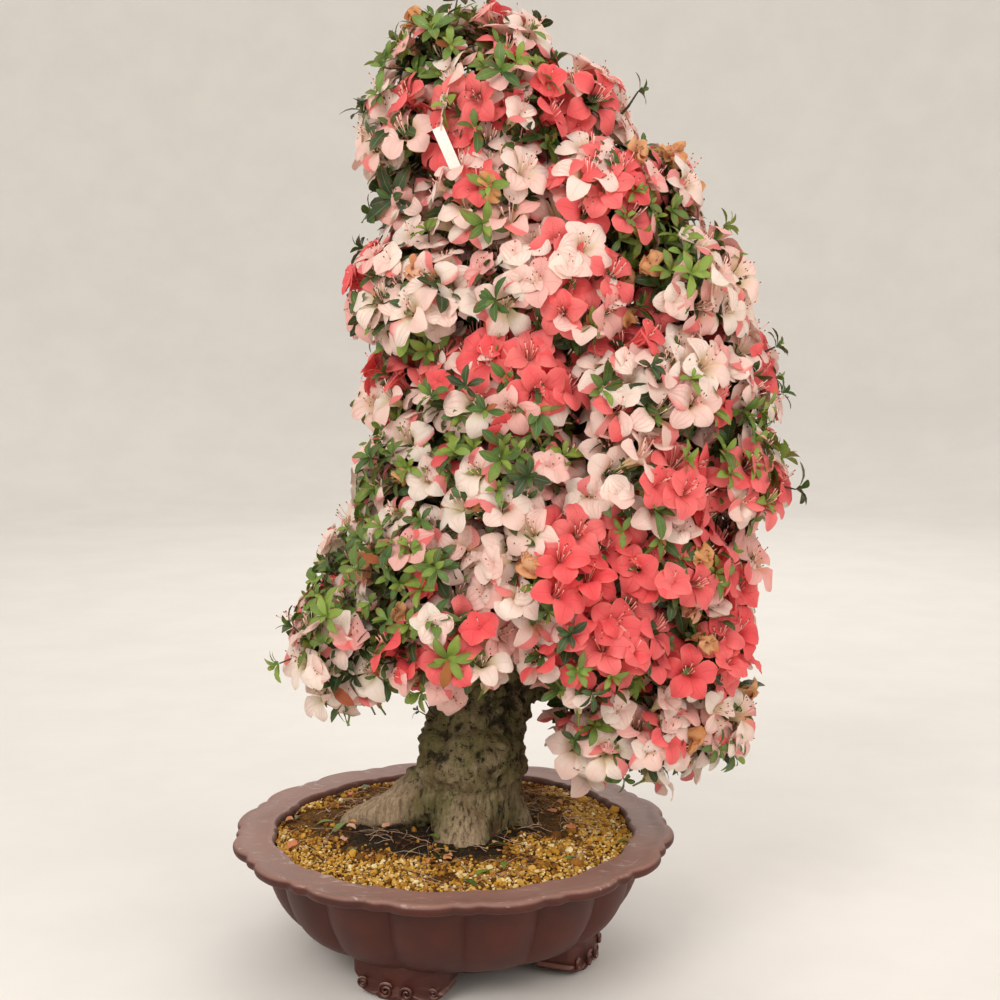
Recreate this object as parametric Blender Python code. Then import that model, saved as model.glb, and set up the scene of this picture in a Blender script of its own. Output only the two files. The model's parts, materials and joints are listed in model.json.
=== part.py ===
"""A flowering bonsai tree in a sixteen-lobed fired clay pot. Metres, +Z up.

The model is laid out about the pot's axis, with the feet's soles at z = 0, and is shifted at the end so
that the origin is the middle of the bottom of the whole object's box.
"""

import math
from dataclasses import dataclass

import bmesh
import bpy
from mathutils import Vector

CLEARANCE = 0.0003  # between pieces that touch on the real object
WELD = 0.00002  # corners closer than this are one corner

# Pot
POT_RADIUS = 0.210
RIM_HEIGHT = 0.120
LIP_WIDTH = 0.038
LIP_THICKNESS = 0.011
LIP_NOTCH = 0.008
INNER_NOTCH = 0.005
LIP_OVERHANG = 0.030
BODY_RADIUS = POT_RADIUS - LIP_OVERHANG
BODY_FLUTE = 0.009
WALL = 0.010
FLOOR_THICKNESS = 0.011
RING_RADIUS = 0.118
RING_HEIGHT = 0.006
RING_WIDTH = 0.013
LOBES = 16
LOBE_TURN = math.radians(-85.1)
STEPS_PER_LOBE = 4
BODY_STEPS = 5

# Feet
FEET = 4
FOOT_HEIGHT = 0.020
FOOT_WIDTH = 0.084
FOOT_RADIUS = 0.140
FOOT_DEPTH = 0.034
FOOT_TURN = math.radians(-110)
SCROLL_RADIUS = 0.0065
SCROLL_RELIEF = 0.0025

# Drain holes and the screens over them
DRAINS = 3
DRAIN_RADIUS = 0.013
DRAIN_CIRCLE = 0.058
SCREEN_SIDE = 0.046
SCREEN_THICKNESS = 0.0014
SCREEN_CELLS = 7

# Soil
SOIL_BELOW_RIM = 0.009
SOIL_MOUND = 0.014
SOIL_LEVEL = RIM_HEIGHT - SOIL_BELOW_RIM  # where the soil meets the pot

# Trunk: x, y, height above the soil's level and radius at each station, from the root ball to the crown
TRUNK = (
    (0.014, -0.010, -0.026, 0.046),
    (0.015, -0.010, 0.010, 0.039),
    (0.017, -0.007, 0.036, 0.040),
    (0.016, 0.000, 0.062, 0.049),
    (0.020, 0.004, 0.092, 0.046),
    (0.036, 0.006, 0.129, 0.036),
    (0.052, 0.008, 0.179, 0.030),
    (0.060, 0.006, 0.239, 0.025),
    (0.058, 0.000, 0.309, 0.021),
    (0.048, -0.004, 0.379, 0.018),
    (0.042, 0.000, 0.449, 0.015),
    (0.036, 0.004, 0.519, 0.013),
    (0.026, 0.004, 0.589, 0.011),
    (0.012, 0.000, 0.639, 0.009),
    (0.006, 0.000, 0.661, 0.008),
)
TRUNK_SIDES = 12
TRUNK_BUMP = 0.10
ROOTS = (
    (
        (-0.005, -0.004, 0.049, 0.034),
        (-0.045, 0.000, 0.025, 0.026),
        (-0.080, 0.012, 0.011, 0.018),
        (-0.108, 0.020, -0.001, 0.011),
    ),
    ((0.014, -0.016, 0.050, 0.034), (0.012, -0.034, 0.020, 0.029), (0.008, -0.046, -0.009, 0.031)),
    ((0.040, 0.004, 0.046, 0.027), (0.056, 0.002, 0.018, 0.017), (0.070, -0.002, -0.003, 0.012)),
    ((0.026, 0.016, 0.044, 0.034), (0.042, 0.050, 0.017, 0.022), (0.056, 0.082, -0.003, 0.012)),
    ((-0.004, 0.016, 0.044, 0.032), (-0.026, 0.046, 0.017, 0.022), (-0.048, 0.074, -0.003, 0.012)),
)
ROOT_SIDES = 8

# Branches
BRANCH_SIDES = 6
BRANCH_RADIUS = 0.0085
TWIG_RADIUS = 0.0045
BRANCH_SAG = 0.10
BRANCH_CLEARANCE = 0.002
CROSSING_CHECKS = 8

# Pads of leaves and flowers
PAD_RISE = 0.059
PAD_OVERLAP = 1.25
SEAT_DEPTH = 0.42
BESIDE = 0.6
BRANCH_ROOM = 0.010


@dataclass(frozen=True)
class Tier:
    """A ring of pads round the trunk.

    Its height above the soil's level, its left and right edge, its half depth, each pad's reach from
    front to back, how many pads go round, how many steps the ring is turned, how much the front pads
    are raised, how far below them their branches leave the trunk, and the colours that repeat.
    """

    height: float
    left: float
    right: float
    depth: float
    reach: float
    pads: int
    turn: float
    front_lift: float
    drop: float
    blossom: tuple


TIERS = (
    Tier(0.707, -0.060, 0.094, 0.062, 0.052, 2, 0.0, 0.000, 0.045, ("white", "leaf")),
    Tier(0.659, -0.082, 0.164, 0.096, 0.046, 4, 0.0, 0.000, 0.045, ("white", "coral", "white")),
    Tier(0.589, -0.062, 0.232, 0.122, 0.052, 6, 0.0, 0.000, 0.045, ("white", "coral")),
    Tier(0.511, -0.086, 0.266, 0.142, 0.056, 6, 0.5, 0.000, 0.045, ("white", "coral", "white")),
    Tier(0.429, -0.080, 0.302, 0.154, 0.058, 6, 0.0, 0.000, 0.045, ("white", "coral")),
    Tier(0.347, -0.084, 0.302, 0.164, 0.058, 8, 0.5, 0.000, 0.045, ("coral", "white", "white", "leaf")),
    Tier(0.261, -0.128, 0.292, 0.172, 0.058, 8, 0.0, 0.016, 0.040, ("coral", "white", "coral", "white")),
    Tier(0.181, -0.152, 0.274, 0.166, 0.058, 8, 0.5, 0.036, 0.045, ("white", "coral", "white", "leaf")),
    Tier(0.121, 0.078, 0.286, 0.112, 0.056, 3, 0.0, 0.000, -0.108, ("white", "coral")),
)


@dataclass(frozen=True)
class Pad:
    """An egg-shaped lump of leaves and flowers: its centre, its three axes and their half lengths."""

    name: str
    centre: Vector
    axes: tuple
    reaches: tuple
    root: Vector
    blossom: str

    def support(self, direction):
        """The distance from the centre to the plane that touches the egg on this side."""
        return math.sqrt(sum((r * a.dot(direction)) ** 2 for a, r in zip(self.axes, self.reaches)))

    @property
    def outward(self):
        """The direction in which its branch arrives."""
        return (self.centre - self.root).normalized()

    def holds(self, point, margin):
        """Whether a point lies inside the egg grown by this margin."""
        offset = point - self.centre
        return sum((a.dot(offset) / (r + margin)) ** 2 for a, r in zip(self.axes, self.reaches)) < 1

    @property
    def trunk_faces(self):
        """Points and directions of the planes that keep the pad's inner side off the trunk."""
        faces = []
        for row in trunk_path(2):
            if -PAD_RISE * BESIDE < row.z - self.centre.z < PAD_RISE:
                way = row.to_3d() - self.centre
                way.z = 0.0
                way.normalize()
                faces.append((row.to_3d() - way * (row.w * (1 + TRUNK_BUMP) + BRANCH_ROOM), way))
        return faces

    @property
    def seat(self):
        """The middle of the flat place where its branch ends, on the pad's side of every trunk face."""
        depth = self.support(self.outward) * SEAT_DEPTH
        for point, way in self.trunk_faces:
            closing = -self.outward.dot(way)
            if closing > 0:
                depth = min(depth, ((point - self.centre).dot(way) - TWIG_RADIUS) / closing)
        return self.centre - self.outward * depth


# ---------------------------------------------------------------- shared helpers


def clear_scene():
    """Remove every object that the file opened with."""
    for item in list(bpy.data.objects):
        bpy.data.objects.remove(item, do_unlink=True)


def principled(name, colour, roughness, metallic=0.0):
    """A plain material of the piece's own colour and finish."""
    material = bpy.data.materials.get(name) or bpy.data.materials.new(name)
    material.use_nodes = True
    shader = material.node_tree.nodes["Principled BSDF"]
    shader.inputs["Base Color"].default_value = (*colour, 1.0)
    shader.inputs["Roughness"].default_value = roughness
    shader.inputs["Metallic"].default_value = metallic
    return material


def object_from(name, shape):
    """A new object in the scene that owns this shape."""
    bmesh.ops.recalc_face_normals(shape, faces=shape.faces)
    mesh = bpy.data.meshes.new(name)
    shape.to_mesh(mesh)
    shape.free()
    item = bpy.data.objects.new(name, mesh)
    bpy.context.collection.objects.link(item)
    return item


def dress(item, material, sharp_degrees=40):
    """Give a finished piece its material and smooth shading between its edges."""
    item.data.materials.clear()
    item.data.materials.append(material)
    item.data.shade_smooth()
    item.data.set_sharp_from_angle(angle=math.radians(sharp_degrees))


def tidy(item):
    """Weld corners that a cut left together, and split every face into triangles."""
    shape = bmesh.new()
    shape.from_mesh(item.data)
    bmesh.ops.remove_doubles(shape, verts=shape.verts, dist=WELD)
    bmesh.ops.dissolve_degenerate(shape, edges=shape.edges, dist=WELD)
    bmesh.ops.triangulate(shape, faces=shape.faces)
    shape.to_mesh(item.data)
    shape.free()


def combine(item, tools, operation):
    """Join the tools to the piece, or cut them from it, and remove them."""
    tidy(item)
    for tool in tools:
        tidy(tool)
        step = item.modifiers.new("combine", "BOOLEAN")
        step.operation = operation
        step.solver = "EXACT"
        step.object = tool
        graph = bpy.context.evaluated_depsgraph_get()
        mesh = bpy.data.meshes.new_from_object(item.evaluated_get(graph))
        item.modifiers.clear()
        old = item.data
        item.data = mesh
        bpy.data.meshes.remove(old)
        bpy.data.objects.remove(tool, do_unlink=True)
        tidy(item)
    return item


def polar(radius, angle, height):
    """A point at this distance and direction from the pot's axis."""
    return Vector((radius * math.cos(angle), radius * math.sin(angle), height))


# ---------------------------------------------------------------- pot


def lobe_dip(angle):
    """How far a point lies towards its lobe's edge: 0 in a lobe's middle and 1 at a cusp."""
    across = ((angle - LOBE_TURN) / math.tau * LOBES) % 1.0
    return abs(2 * across - 1) ** 2.4


def lobed_solid(name, profile):
    """Turn a closed profile of (radius, height, notch) rows about the axis, with a cusp between lobes."""
    shape = bmesh.new()
    count = LOBES * STEPS_PER_LOBE
    rings = []
    for radius, height, notch in profile[1:-1]:
        angles = [LOBE_TURN + math.tau * i / count for i in range(count)]
        rings.append([shape.verts.new(polar(radius - notch * lobe_dip(a), a, height)) for a in angles])
    for low, high in zip(rings, rings[1:]):
        for i in range(count):
            j = (i + 1) % count
            shape.faces.new((low[i], low[j], high[j], high[i]))
    for ring, row in ((rings[0], profile[0]), (rings[-1], profile[-1])):
        centre = shape.verts.new((0, 0, row[1]))
        for i in range(count):
            shape.faces.new((ring[i], ring[(i + 1) % count], centre))
    return object_from(name, shape)


def body_base():
    """The height at which the bulging body starts, above the feet and the ring."""
    return FOOT_HEIGHT + RING_HEIGHT


def body_top():
    """The height at which the body meets the lip."""
    return RIM_HEIGHT - LIP_THICKNESS


def body_radius(height):
    """The body's outer radius, a quarter of an ellipse from the ring up to the lip."""
    rise = (height - body_base()) / (body_top() - body_base())
    return RING_RADIUS + (BODY_RADIUS - RING_RADIUS) * math.sqrt(max(0.0, 1 - (1 - rise) ** 2))


def inner_radius(height):
    """The radius of the pot's inside, one wall in from the body and never past the lip's inner edge."""
    return min(body_radius(height) - WALL, POT_RADIUS - LIP_WIDTH)


def floor_height():
    """The top of the pot's floor."""
    return body_base() + FLOOR_THICKNESS


def body_heights(low, high):
    """Heights that are close together low down, where the body curves most."""
    return [low + (high - low) * (i / BODY_STEPS) ** 1.5 for i in range(BODY_STEPS + 1)]


def pot_profile():
    """The pot's section, from the middle of its underside round the lip to the middle of its floor."""
    recess = FOOT_HEIGHT + 0.5 * RING_HEIGHT
    under_lip = body_top()
    edge = LIP_THICKNESS / 2
    rows = [
        (0.0, recess, 0.0),
        (RING_RADIUS - RING_WIDTH, recess, 0.0),
        (RING_RADIUS - RING_WIDTH, FOOT_HEIGHT, 0.0),
        (RING_RADIUS - 0.001, FOOT_HEIGHT, 0.002),
        (RING_RADIUS, body_base() - 0.001, 0.002),
    ]
    for height in body_heights(body_base() + 0.0005, under_lip):
        share = (height - body_base()) / (under_lip - body_base())
        rows.append((body_radius(height), height, 0.002 + (BODY_FLUTE - 0.002) * min(1.0, share * 3)))
    outer = POT_RADIUS
    inner = POT_RADIUS - LIP_WIDTH
    rows += [
        (outer - 1.2 * edge, under_lip + 0.15 * edge, LIP_NOTCH),
        (outer - 0.3 * edge, under_lip + 0.45 * edge, LIP_NOTCH),
        (outer, under_lip + edge, LIP_NOTCH),
        (outer - 0.3 * edge, RIM_HEIGHT - 0.3 * edge, LIP_NOTCH),
        (outer - 1.2 * edge, RIM_HEIGHT, LIP_NOTCH),
        ((outer + inner) / 2, RIM_HEIGHT - 0.2 * edge, (LIP_NOTCH + INNER_NOTCH) / 2),
        (inner + 0.6 * edge, RIM_HEIGHT, INNER_NOTCH),
        (inner, RIM_HEIGHT - 0.5 * edge, INNER_NOTCH),
    ]
    for height in reversed(body_heights(floor_height(), under_lip)):
        rows.append((inner_radius(height), height, INNER_NOTCH))
    rows.append((0.0, floor_height(), 0.0))
    return rows


def foot_outline():
    """Half of the cloud-shaped foot, as (share of its half width, height) from its arch to its shoulder."""
    h = FOOT_HEIGHT
    return (
        (0.00, 0.24 * h),
        (0.12, 0.20 * h),
        (0.24, 0.0),
        (0.74, 0.0),
        (0.88, 0.14 * h),
        (0.92, 0.38 * h),
        (0.84, 0.58 * h),
        (0.90, 0.80 * h),
        (1.00, 0.94 * h),
        (1.00, FOOT_HEIGHT + 2 * RING_HEIGHT),
    )


def foot_angle(index):
    """The direction of one foot."""
    return FOOT_TURN + math.tau * index / FEET


def pot_foot(index):
    """One cloud foot: its outline pushed through from its back face to its outer face."""
    shape = bmesh.new()
    half = [(FOOT_WIDTH / 2 * share, height) for share, height in foot_outline()]
    outline = half + [(-across, height) for across, height in reversed(half[1:])]
    angle = foot_angle(index)
    out = polar(1.0, angle, 0.0)
    side = Vector((-out.y, out.x, 0.0))
    up = Vector((0.0, 0.0, 1.0))
    verts = [shape.verts.new(out * (FOOT_RADIUS - FOOT_DEPTH) + side * a + up * z) for a, z in outline]
    face = shape.faces.new(verts)
    pushed = bmesh.ops.extrude_face_region(shape, geom=[face])
    moved = [part for part in pushed["geom"] if isinstance(part, bmesh.types.BMVert)]
    bmesh.ops.translate(shape, verts=moved, vec=out * FOOT_DEPTH)
    bmesh.ops.triangulate(shape, faces=[f for f in shape.faces if len(f.verts) > 4])
    return object_from("foot", shape)


def foot_scrolls(index):
    """The round scroll eyes that stand out from a foot's outer face."""
    angle = foot_angle(index)
    out = polar(1.0, angle, 0.0)
    side = Vector((-out.y, out.x, 0.0))
    eyes = []
    for share, height in ((-0.52, 0.46), (0.52, 0.46), (0.0, 0.80)):
        place = out * FOOT_RADIUS + side * (share * FOOT_WIDTH / 2)
        place.z = FOOT_HEIGHT * height
        eyes.append(rod("eye", place - out * 0.004, place + out * SCROLL_RELIEF, SCROLL_RADIUS, 12))
    return eyes


def rod(name, start, end, radius, sides):
    """A straight round bar between two points."""
    shape = bmesh.new()
    length = (end - start).length
    bmesh.ops.create_cone(
        shape, cap_ends=True, segments=sides, radius1=radius, radius2=radius, depth=length
    )
    turn = (end - start).to_track_quat("Z", "Y").to_matrix()
    bmesh.ops.rotate(shape, verts=shape.verts, cent=(0, 0, 0), matrix=turn)
    bmesh.ops.translate(shape, verts=shape.verts, vec=(start + end) / 2)
    return object_from(name, shape)


def drain_place(index):
    """The centre of one drain hole, on the floor."""
    return polar(DRAIN_CIRCLE, LOBE_TURN + math.tau * index / DRAINS, floor_height())


def build_pot():
    """The fired pot: lobed body and lip, foot ring, cloud feet and drain holes, all one piece."""
    pot = lobed_solid("pot", pot_profile())
    added = []
    for index in range(FEET):
        added.append(pot_foot(index))
        added += foot_scrolls(index)
    combine(pot, added, "UNION")
    up = Vector((0, 0, FLOOR_THICKNESS + RING_HEIGHT))
    holes = [drain_place(i) for i in range(DRAINS)]
    combine(pot, [rod("hole", p - up, p + up, DRAIN_RADIUS, 16) for p in holes], "DIFFERENCE")
    dress(pot, principled("pot_clay", (0.13, 0.055, 0.035), 0.45))
    return pot


# ---------------------------------------------------------------- soil and drain screens


def build_screen(index):
    """A square plastic lattice that lies over one drain hole."""
    shape = bmesh.new()
    centre = drain_place(index)
    step = SCREEN_SIDE / SCREEN_CELLS
    low = centre.z + CLEARANCE
    grid = bmesh.ops.create_grid(
        shape, x_segments=SCREEN_CELLS, y_segments=SCREEN_CELLS, size=SCREEN_SIDE / 2
    )
    bmesh.ops.translate(shape, verts=grid["verts"], vec=(centre.x, centre.y, low))
    openings = []
    for face in shape.faces:
        middle = face.calc_center_median() - centre
        column = math.floor(middle.x / step + SCREEN_CELLS / 2)
        row = math.floor(middle.y / step + SCREEN_CELLS / 2)
        if column % 2 and row % 2:
            openings.append(face)
    bmesh.ops.delete(shape, geom=openings, context="FACES")
    pushed = bmesh.ops.extrude_face_region(shape, geom=list(shape.faces))
    moved = [part for part in pushed["geom"] if isinstance(part, bmesh.types.BMVert)]
    bmesh.ops.translate(shape, verts=moved, vec=(0, 0, SCREEN_THICKNESS))
    screen = object_from(f"drain_screen_{index + 1}", shape)
    dress(screen, principled("screen_plastic", (0.02, 0.03, 0.025), 0.5))
    return screen


def screen_pocket(index):
    """The room that a screen takes in the soil."""
    shape = bmesh.new()
    side = SCREEN_SIDE + 2 * CLEARANCE
    depth = SCREEN_THICKNESS + 4 * CLEARANCE
    bmesh.ops.create_cube(shape, size=1.0)
    bmesh.ops.scale(shape, vec=(side, side, 2 * depth), verts=shape.verts)
    bmesh.ops.translate(shape, verts=shape.verts, vec=drain_place(index))
    return object_from("pocket", shape)


def soil_profile():
    """The soil's section: one clearance inside the pot, and mounded towards the trunk."""
    rows = [(0.0, floor_height() + CLEARANCE, 0.0)]
    for height in body_heights(floor_height(), body_top()):
        if height < SOIL_LEVEL - 0.004:
            rows.append((inner_radius(height) - 2 * CLEARANCE, height + CLEARANCE, INNER_NOTCH))
    edge = inner_radius(SOIL_LEVEL) - 2 * CLEARANCE
    rows.append((edge, SOIL_LEVEL, INNER_NOTCH))
    for share in (0.82, 0.6, 0.4, 0.2):
        rise = SOIL_MOUND * (1 - share**2)
        rows.append((edge * share, SOIL_LEVEL + rise, INNER_NOTCH * share**2))
    rows.append((0.0, SOIL_LEVEL + SOIL_MOUND, 0.0))
    return rows


def build_soil():
    """The soil mass, with room for the screens and for the foot of the tree."""
    soil = lobed_solid("soil", soil_profile())
    combine(soil, [screen_pocket(i) for i in range(DRAINS)], "DIFFERENCE")
    combine(soil, [tree_foot("tree_foot", CLEARANCE)], "DIFFERENCE")
    dress(soil, principled("soil_grain", (0.33, 0.20, 0.07), 0.95))
    return soil


# ---------------------------------------------------------------- trunk, roots and branches


def above_soil(stations):
    """The same stations with their heights measured from the soles of the feet."""
    return [(x, y, height + SOIL_LEVEL, radius) for x, y, height, radius in stations]


def trunk_path(steps):
    """Points on the trunk's smooth line, each with its radius."""
    return smooth_path(above_soil(TRUNK), steps)


def smooth_path(stations, steps):
    """Points on a smooth curve through the stations, each with its radius."""
    rows = [Vector(station) for station in stations]
    rows = [2 * rows[0] - rows[1], *rows, 2 * rows[-1] - rows[-2]]
    path = []
    for a, b, c, d in zip(rows, rows[1:], rows[2:], rows[3:]):
        for i in range(steps):
            t = i / steps
            curve = 2 * b + (c - a) * t
            curve += (2 * a - 5 * b + 4 * c - d) * t**2
            curve += (3 * b - a - 3 * c + d) * t**3
            path.append(curve / 2)
    path.append(rows[-2])
    return path


def tube(name, path, sides, grow=0.0, bump=0.0, end=None):
    """A closed tapering tube along a path of (x, y, z, radius); end is the last disc's direction."""
    shape = bmesh.new()
    spots = [row.to_3d() for row in path]
    last = len(path) - 1
    rings = []
    side = Vector((1.0, 0.0, 0.0))
    for i, row in enumerate(path):
        along = (spots[min(i + 1, last)] - spots[max(i - 1, 0)]).normalized()
        if end and i == last:
            along = end
        across = along.cross(side).normalized()
        side = across.cross(along).normalized()
        spot = spots[i] + along * (grow if i == last else -grow if i == 0 else 0.0)
        ring = []
        for k in range(sides):
            angle = math.tau * k / sides
            knob = 1 + bump * math.sin(3 * angle + 9 * i / last) * math.cos(2 * angle - 5 * i / last)
            radius = row.w * knob + 1.1 * grow
            ring.append(shape.verts.new(spot + (side * math.cos(angle) + across * math.sin(angle)) * radius))
        rings.append(ring)
    for low, high in zip(rings, rings[1:]):
        for k in range(sides):
            j = (k + 1) % sides
            shape.faces.new((low[k], low[j], high[j], high[k]))
    shape.faces.new(list(reversed(rings[0])))
    shape.faces.new(rings[-1])
    return object_from(name, shape)


def tree_foot(name, grow):
    """The trunk and its surface roots, grown by a clearance where the soil makes room for them."""
    trunk = tube(name, trunk_path(2), TRUNK_SIDES, grow, TRUNK_BUMP)
    paths = [smooth_path(above_soil(root), 3) for root in ROOTS]
    roots = [tube("root", path, ROOT_SIDES, grow, TRUNK_BUMP) for path in paths]
    return combine(trunk, roots, "UNION")


def trunk_at(height):
    """The trunk's centre and radius at this height."""
    nearest = min(trunk_path(8), key=lambda row: abs(row.z - height))
    return nearest.to_3d(), nearest.w


def branch_path(pad):
    """The branch's course from the trunk to the seat of one pad, ending one clearance short of it."""
    start, width = trunk_at(pad.root.z)
    out = pad.outward
    end = pad.seat - out * CLEARANCE
    bend = end - out * min(0.35 * (end - start).length, 0.03)
    reach = (bend - start).length
    sag = BRANCH_SAG if pad.root.z < pad.centre.z else -BRANCH_SAG
    middle = start.lerp(bend, 0.5) - Vector((0, 0, sag * reach))
    thick = min(BRANCH_RADIUS, 0.6 * width)
    stations = [(*start, thick), (*middle, 0.8 * thick), (*bend, TWIG_RADIUS), (*end, 0.8 * TWIG_RADIUS)]
    return smooth_path(stations, 1)


def branch(pad):
    """One branch, its end flat against its pad's seat."""
    return tube("branch", branch_path(pad), BRANCH_SIDES, end=pad.outward)


def build_tree(pads):
    """Trunk, roots and one branch to each pad, grown as one piece of wood."""
    tree = tree_foot("trunk", 0.0)
    combine(tree, [branch(pad) for pad in pads], "UNION")
    dress(tree, principled("bark", (0.20, 0.16, 0.10), 0.85))
    return tree


# ---------------------------------------------------------------- pads of leaves and flowers


def tier_pads(number, tier):
    """The pads that go round one tier, each facing away from the tier's middle."""
    middle = Vector(((tier.left + tier.right) / 2, 0.0, tier.height + SOIL_LEVEL))
    step = math.tau / tier.pads
    wide = ((tier.right - tier.left) / 2 - tier.reach) / math.cos(step * tier.turn)
    deep = tier.depth - tier.reach
    girth = math.pi * (wide + deep) * 1.05
    along = max(PAD_OVERLAP * girth / tier.pads / 2, tier.reach)
    pads = []
    for i in range(tier.pads):
        angle = step * (i + tier.turn)
        offset = Vector((wide * math.cos(angle), deep * math.sin(angle), 0.0))
        facing = Vector((math.cos(angle), math.sin(angle), 0.0))
        side = Vector((-facing.y, facing.x, 0.0))
        lift = tier.front_lift * max(0.0, -math.sin(angle))
        centre = middle + offset + Vector((0, 0, lift))
        root, _ = trunk_at(centre.z - tier.drop)
        pads.append(
            Pad(
                name=f"pad_{number}_{i + 1}",
                centre=centre,
                axes=(facing, side, Vector((0, 0, 1))),
                reaches=(tier.reach, along, PAD_RISE),
                root=root,
                blossom=tier.blossom[i % len(tier.blossom)],
            )
        )
    return pads


def all_pads():
    """Every pad of the crown, from the top tier down."""
    return [pad for number, tier in enumerate(TIERS, 1) for pad in tier_pads(number, tier)]


def crossing_faces(pad, others):
    """Points and directions of the planes that keep a pad off the branches of the other pads."""
    faces = []
    for path in (branch_path(other) for other in others if other is not pad):
        for low, high in zip(path, path[1:]):
            for i in range(CROSSING_CHECKS):
                row = low.lerp(high, i / CROSSING_CHECKS)
                room = row.w + BRANCH_CLEARANCE
                if pad.holds(row.to_3d(), room):
                    way = (row.to_3d() - pad.centre).normalized()
                    faces.append((row.to_3d() - way * room, way))
    return faces


def slice_off(shape, point, normal):
    """Cut away what lies beyond a plane, and close the cut."""
    geometry = list(shape.verts) + list(shape.edges) + list(shape.faces)
    cut = bmesh.ops.bisect_plane(
        shape, geom=geometry, dist=1e-7, plane_co=point, plane_no=normal, clear_outer=True
    )
    rim = [part for part in cut["geom_cut"] if isinstance(part, bmesh.types.BMEdge)]
    if rim:
        bmesh.ops.contextual_create(shape, geom=rim)


def build_pad(pad, pads):
    """One lump, cut flat at its seat, beside the trunk and halfway to each neighbour that it would meet."""
    shape = bmesh.new()
    bmesh.ops.create_uvsphere(shape, u_segments=9, v_segments=5, radius=1.0)
    for vert in shape.verts:
        parts = zip(pad.axes, pad.reaches, tuple(vert.co))
        vert.co = pad.centre + sum((axis * reach * part for axis, reach, part in parts), Vector())
    slice_off(shape, pad.seat, -pad.outward)
    for other in pads:
        apart = other.centre - pad.centre
        if other is pad or not apart.length:
            continue
        way = apart.normalized()
        mine, theirs = pad.support(way), other.support(-way)
        if mine + theirs > apart.length:
            share = mine / (mine + theirs)
            slice_off(shape, pad.centre + way * (apart.length * share - CLEARANCE / 2), way)
    for point, way in pad.trunk_faces + crossing_faces(pad, pads):
        slice_off(shape, point, way)
    bmesh.ops.remove_doubles(shape, verts=shape.verts, dist=WELD)
    bmesh.ops.dissolve_degenerate(shape, edges=shape.edges, dist=WELD)
    bmesh.ops.triangulate(shape, faces=shape.faces)
    item = object_from(pad.name, shape)
    dress(item, blossom_material(pad.blossom))
    return item


def blossom_material(kind):
    """The overall colour of a pad: white flowers, coral flowers or mostly leaves."""
    colours = {
        "white": (0.80, 0.60, 0.55),
        "coral": (0.76, 0.16, 0.17),
        "leaf": (0.16, 0.24, 0.06),
    }
    return principled(f"pad_{kind}", colours[kind], 0.7)


# ---------------------------------------------------------------- the whole object


def centre_on_base(items):
    """Shift every piece so that the origin is the middle of the bottom of the whole box."""
    corners = [vert.co for item in items for vert in item.data.vertices]
    low = [min(corner[axis] for corner in corners) for axis in range(3)]
    high = [max(corner[axis] for corner in corners) for axis in range(3)]
    shift = Vector(((low[0] + high[0]) / 2, (low[1] + high[1]) / 2, low[2]))
    for item in items:
        for vert in item.data.vertices:
            vert.co -= shift


def main():
    """Build every piece of the plant and its pot."""
    clear_scene()
    pads = all_pads()
    items = [build_pot()]
    items += [build_screen(index) for index in range(DRAINS)]
    items += [build_soil(), build_tree(pads)]
    items += [build_pad(pad, pads) for pad in pads]
    centre_on_base(items)


main()
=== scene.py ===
"""A flowering azalea bonsai in a lobed clay pot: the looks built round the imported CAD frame."""

import sys
import json
import logging
import math
import random
from dataclasses import dataclass, field
from enum import Enum
from typing import Callable, Iterable, Optional, Sequence, Union

import bmesh
import bpy
import numpy as np
from mathutils import Matrix, Vector, noise
from mathutils.bvhtree import BVHTree


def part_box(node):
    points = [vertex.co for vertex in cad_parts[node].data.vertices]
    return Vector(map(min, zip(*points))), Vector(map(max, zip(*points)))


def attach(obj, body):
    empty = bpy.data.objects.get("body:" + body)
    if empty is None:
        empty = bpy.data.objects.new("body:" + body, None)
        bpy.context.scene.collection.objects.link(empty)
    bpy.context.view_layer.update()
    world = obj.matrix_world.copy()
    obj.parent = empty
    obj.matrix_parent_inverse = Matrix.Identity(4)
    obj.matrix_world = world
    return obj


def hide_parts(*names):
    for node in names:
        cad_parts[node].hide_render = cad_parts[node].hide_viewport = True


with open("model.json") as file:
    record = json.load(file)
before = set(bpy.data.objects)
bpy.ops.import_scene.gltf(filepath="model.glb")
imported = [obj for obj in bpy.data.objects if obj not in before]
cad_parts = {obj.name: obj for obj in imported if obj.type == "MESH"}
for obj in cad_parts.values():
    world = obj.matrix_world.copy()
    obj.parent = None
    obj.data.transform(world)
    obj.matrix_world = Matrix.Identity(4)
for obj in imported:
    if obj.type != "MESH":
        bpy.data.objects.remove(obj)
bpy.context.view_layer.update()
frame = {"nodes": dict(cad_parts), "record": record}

LOG = logging.getLogger("bonsai")
Colour = tuple[float, float, float, float]


def shade(red: float, green: float, blue: float) -> Colour:
    """A colour of eight-bit display values, as the linear colour that shaders take.

    Args:
        red: the red display value, 0 to 255.
        green: the green display value.
        blue: the blue display value.

    Returns:
        The linear colour with full alpha.
    """
    parts = [value / 255 for value in (red, green, blue)]
    linear = [p / 12.92 if p <= 0.04045 else ((p + 0.055) / 1.055) ** 2.4 for p in parts]
    return (linear[0], linear[1], linear[2], 1.0)


# ---------------------------------------------------------------- shader writing


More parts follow.
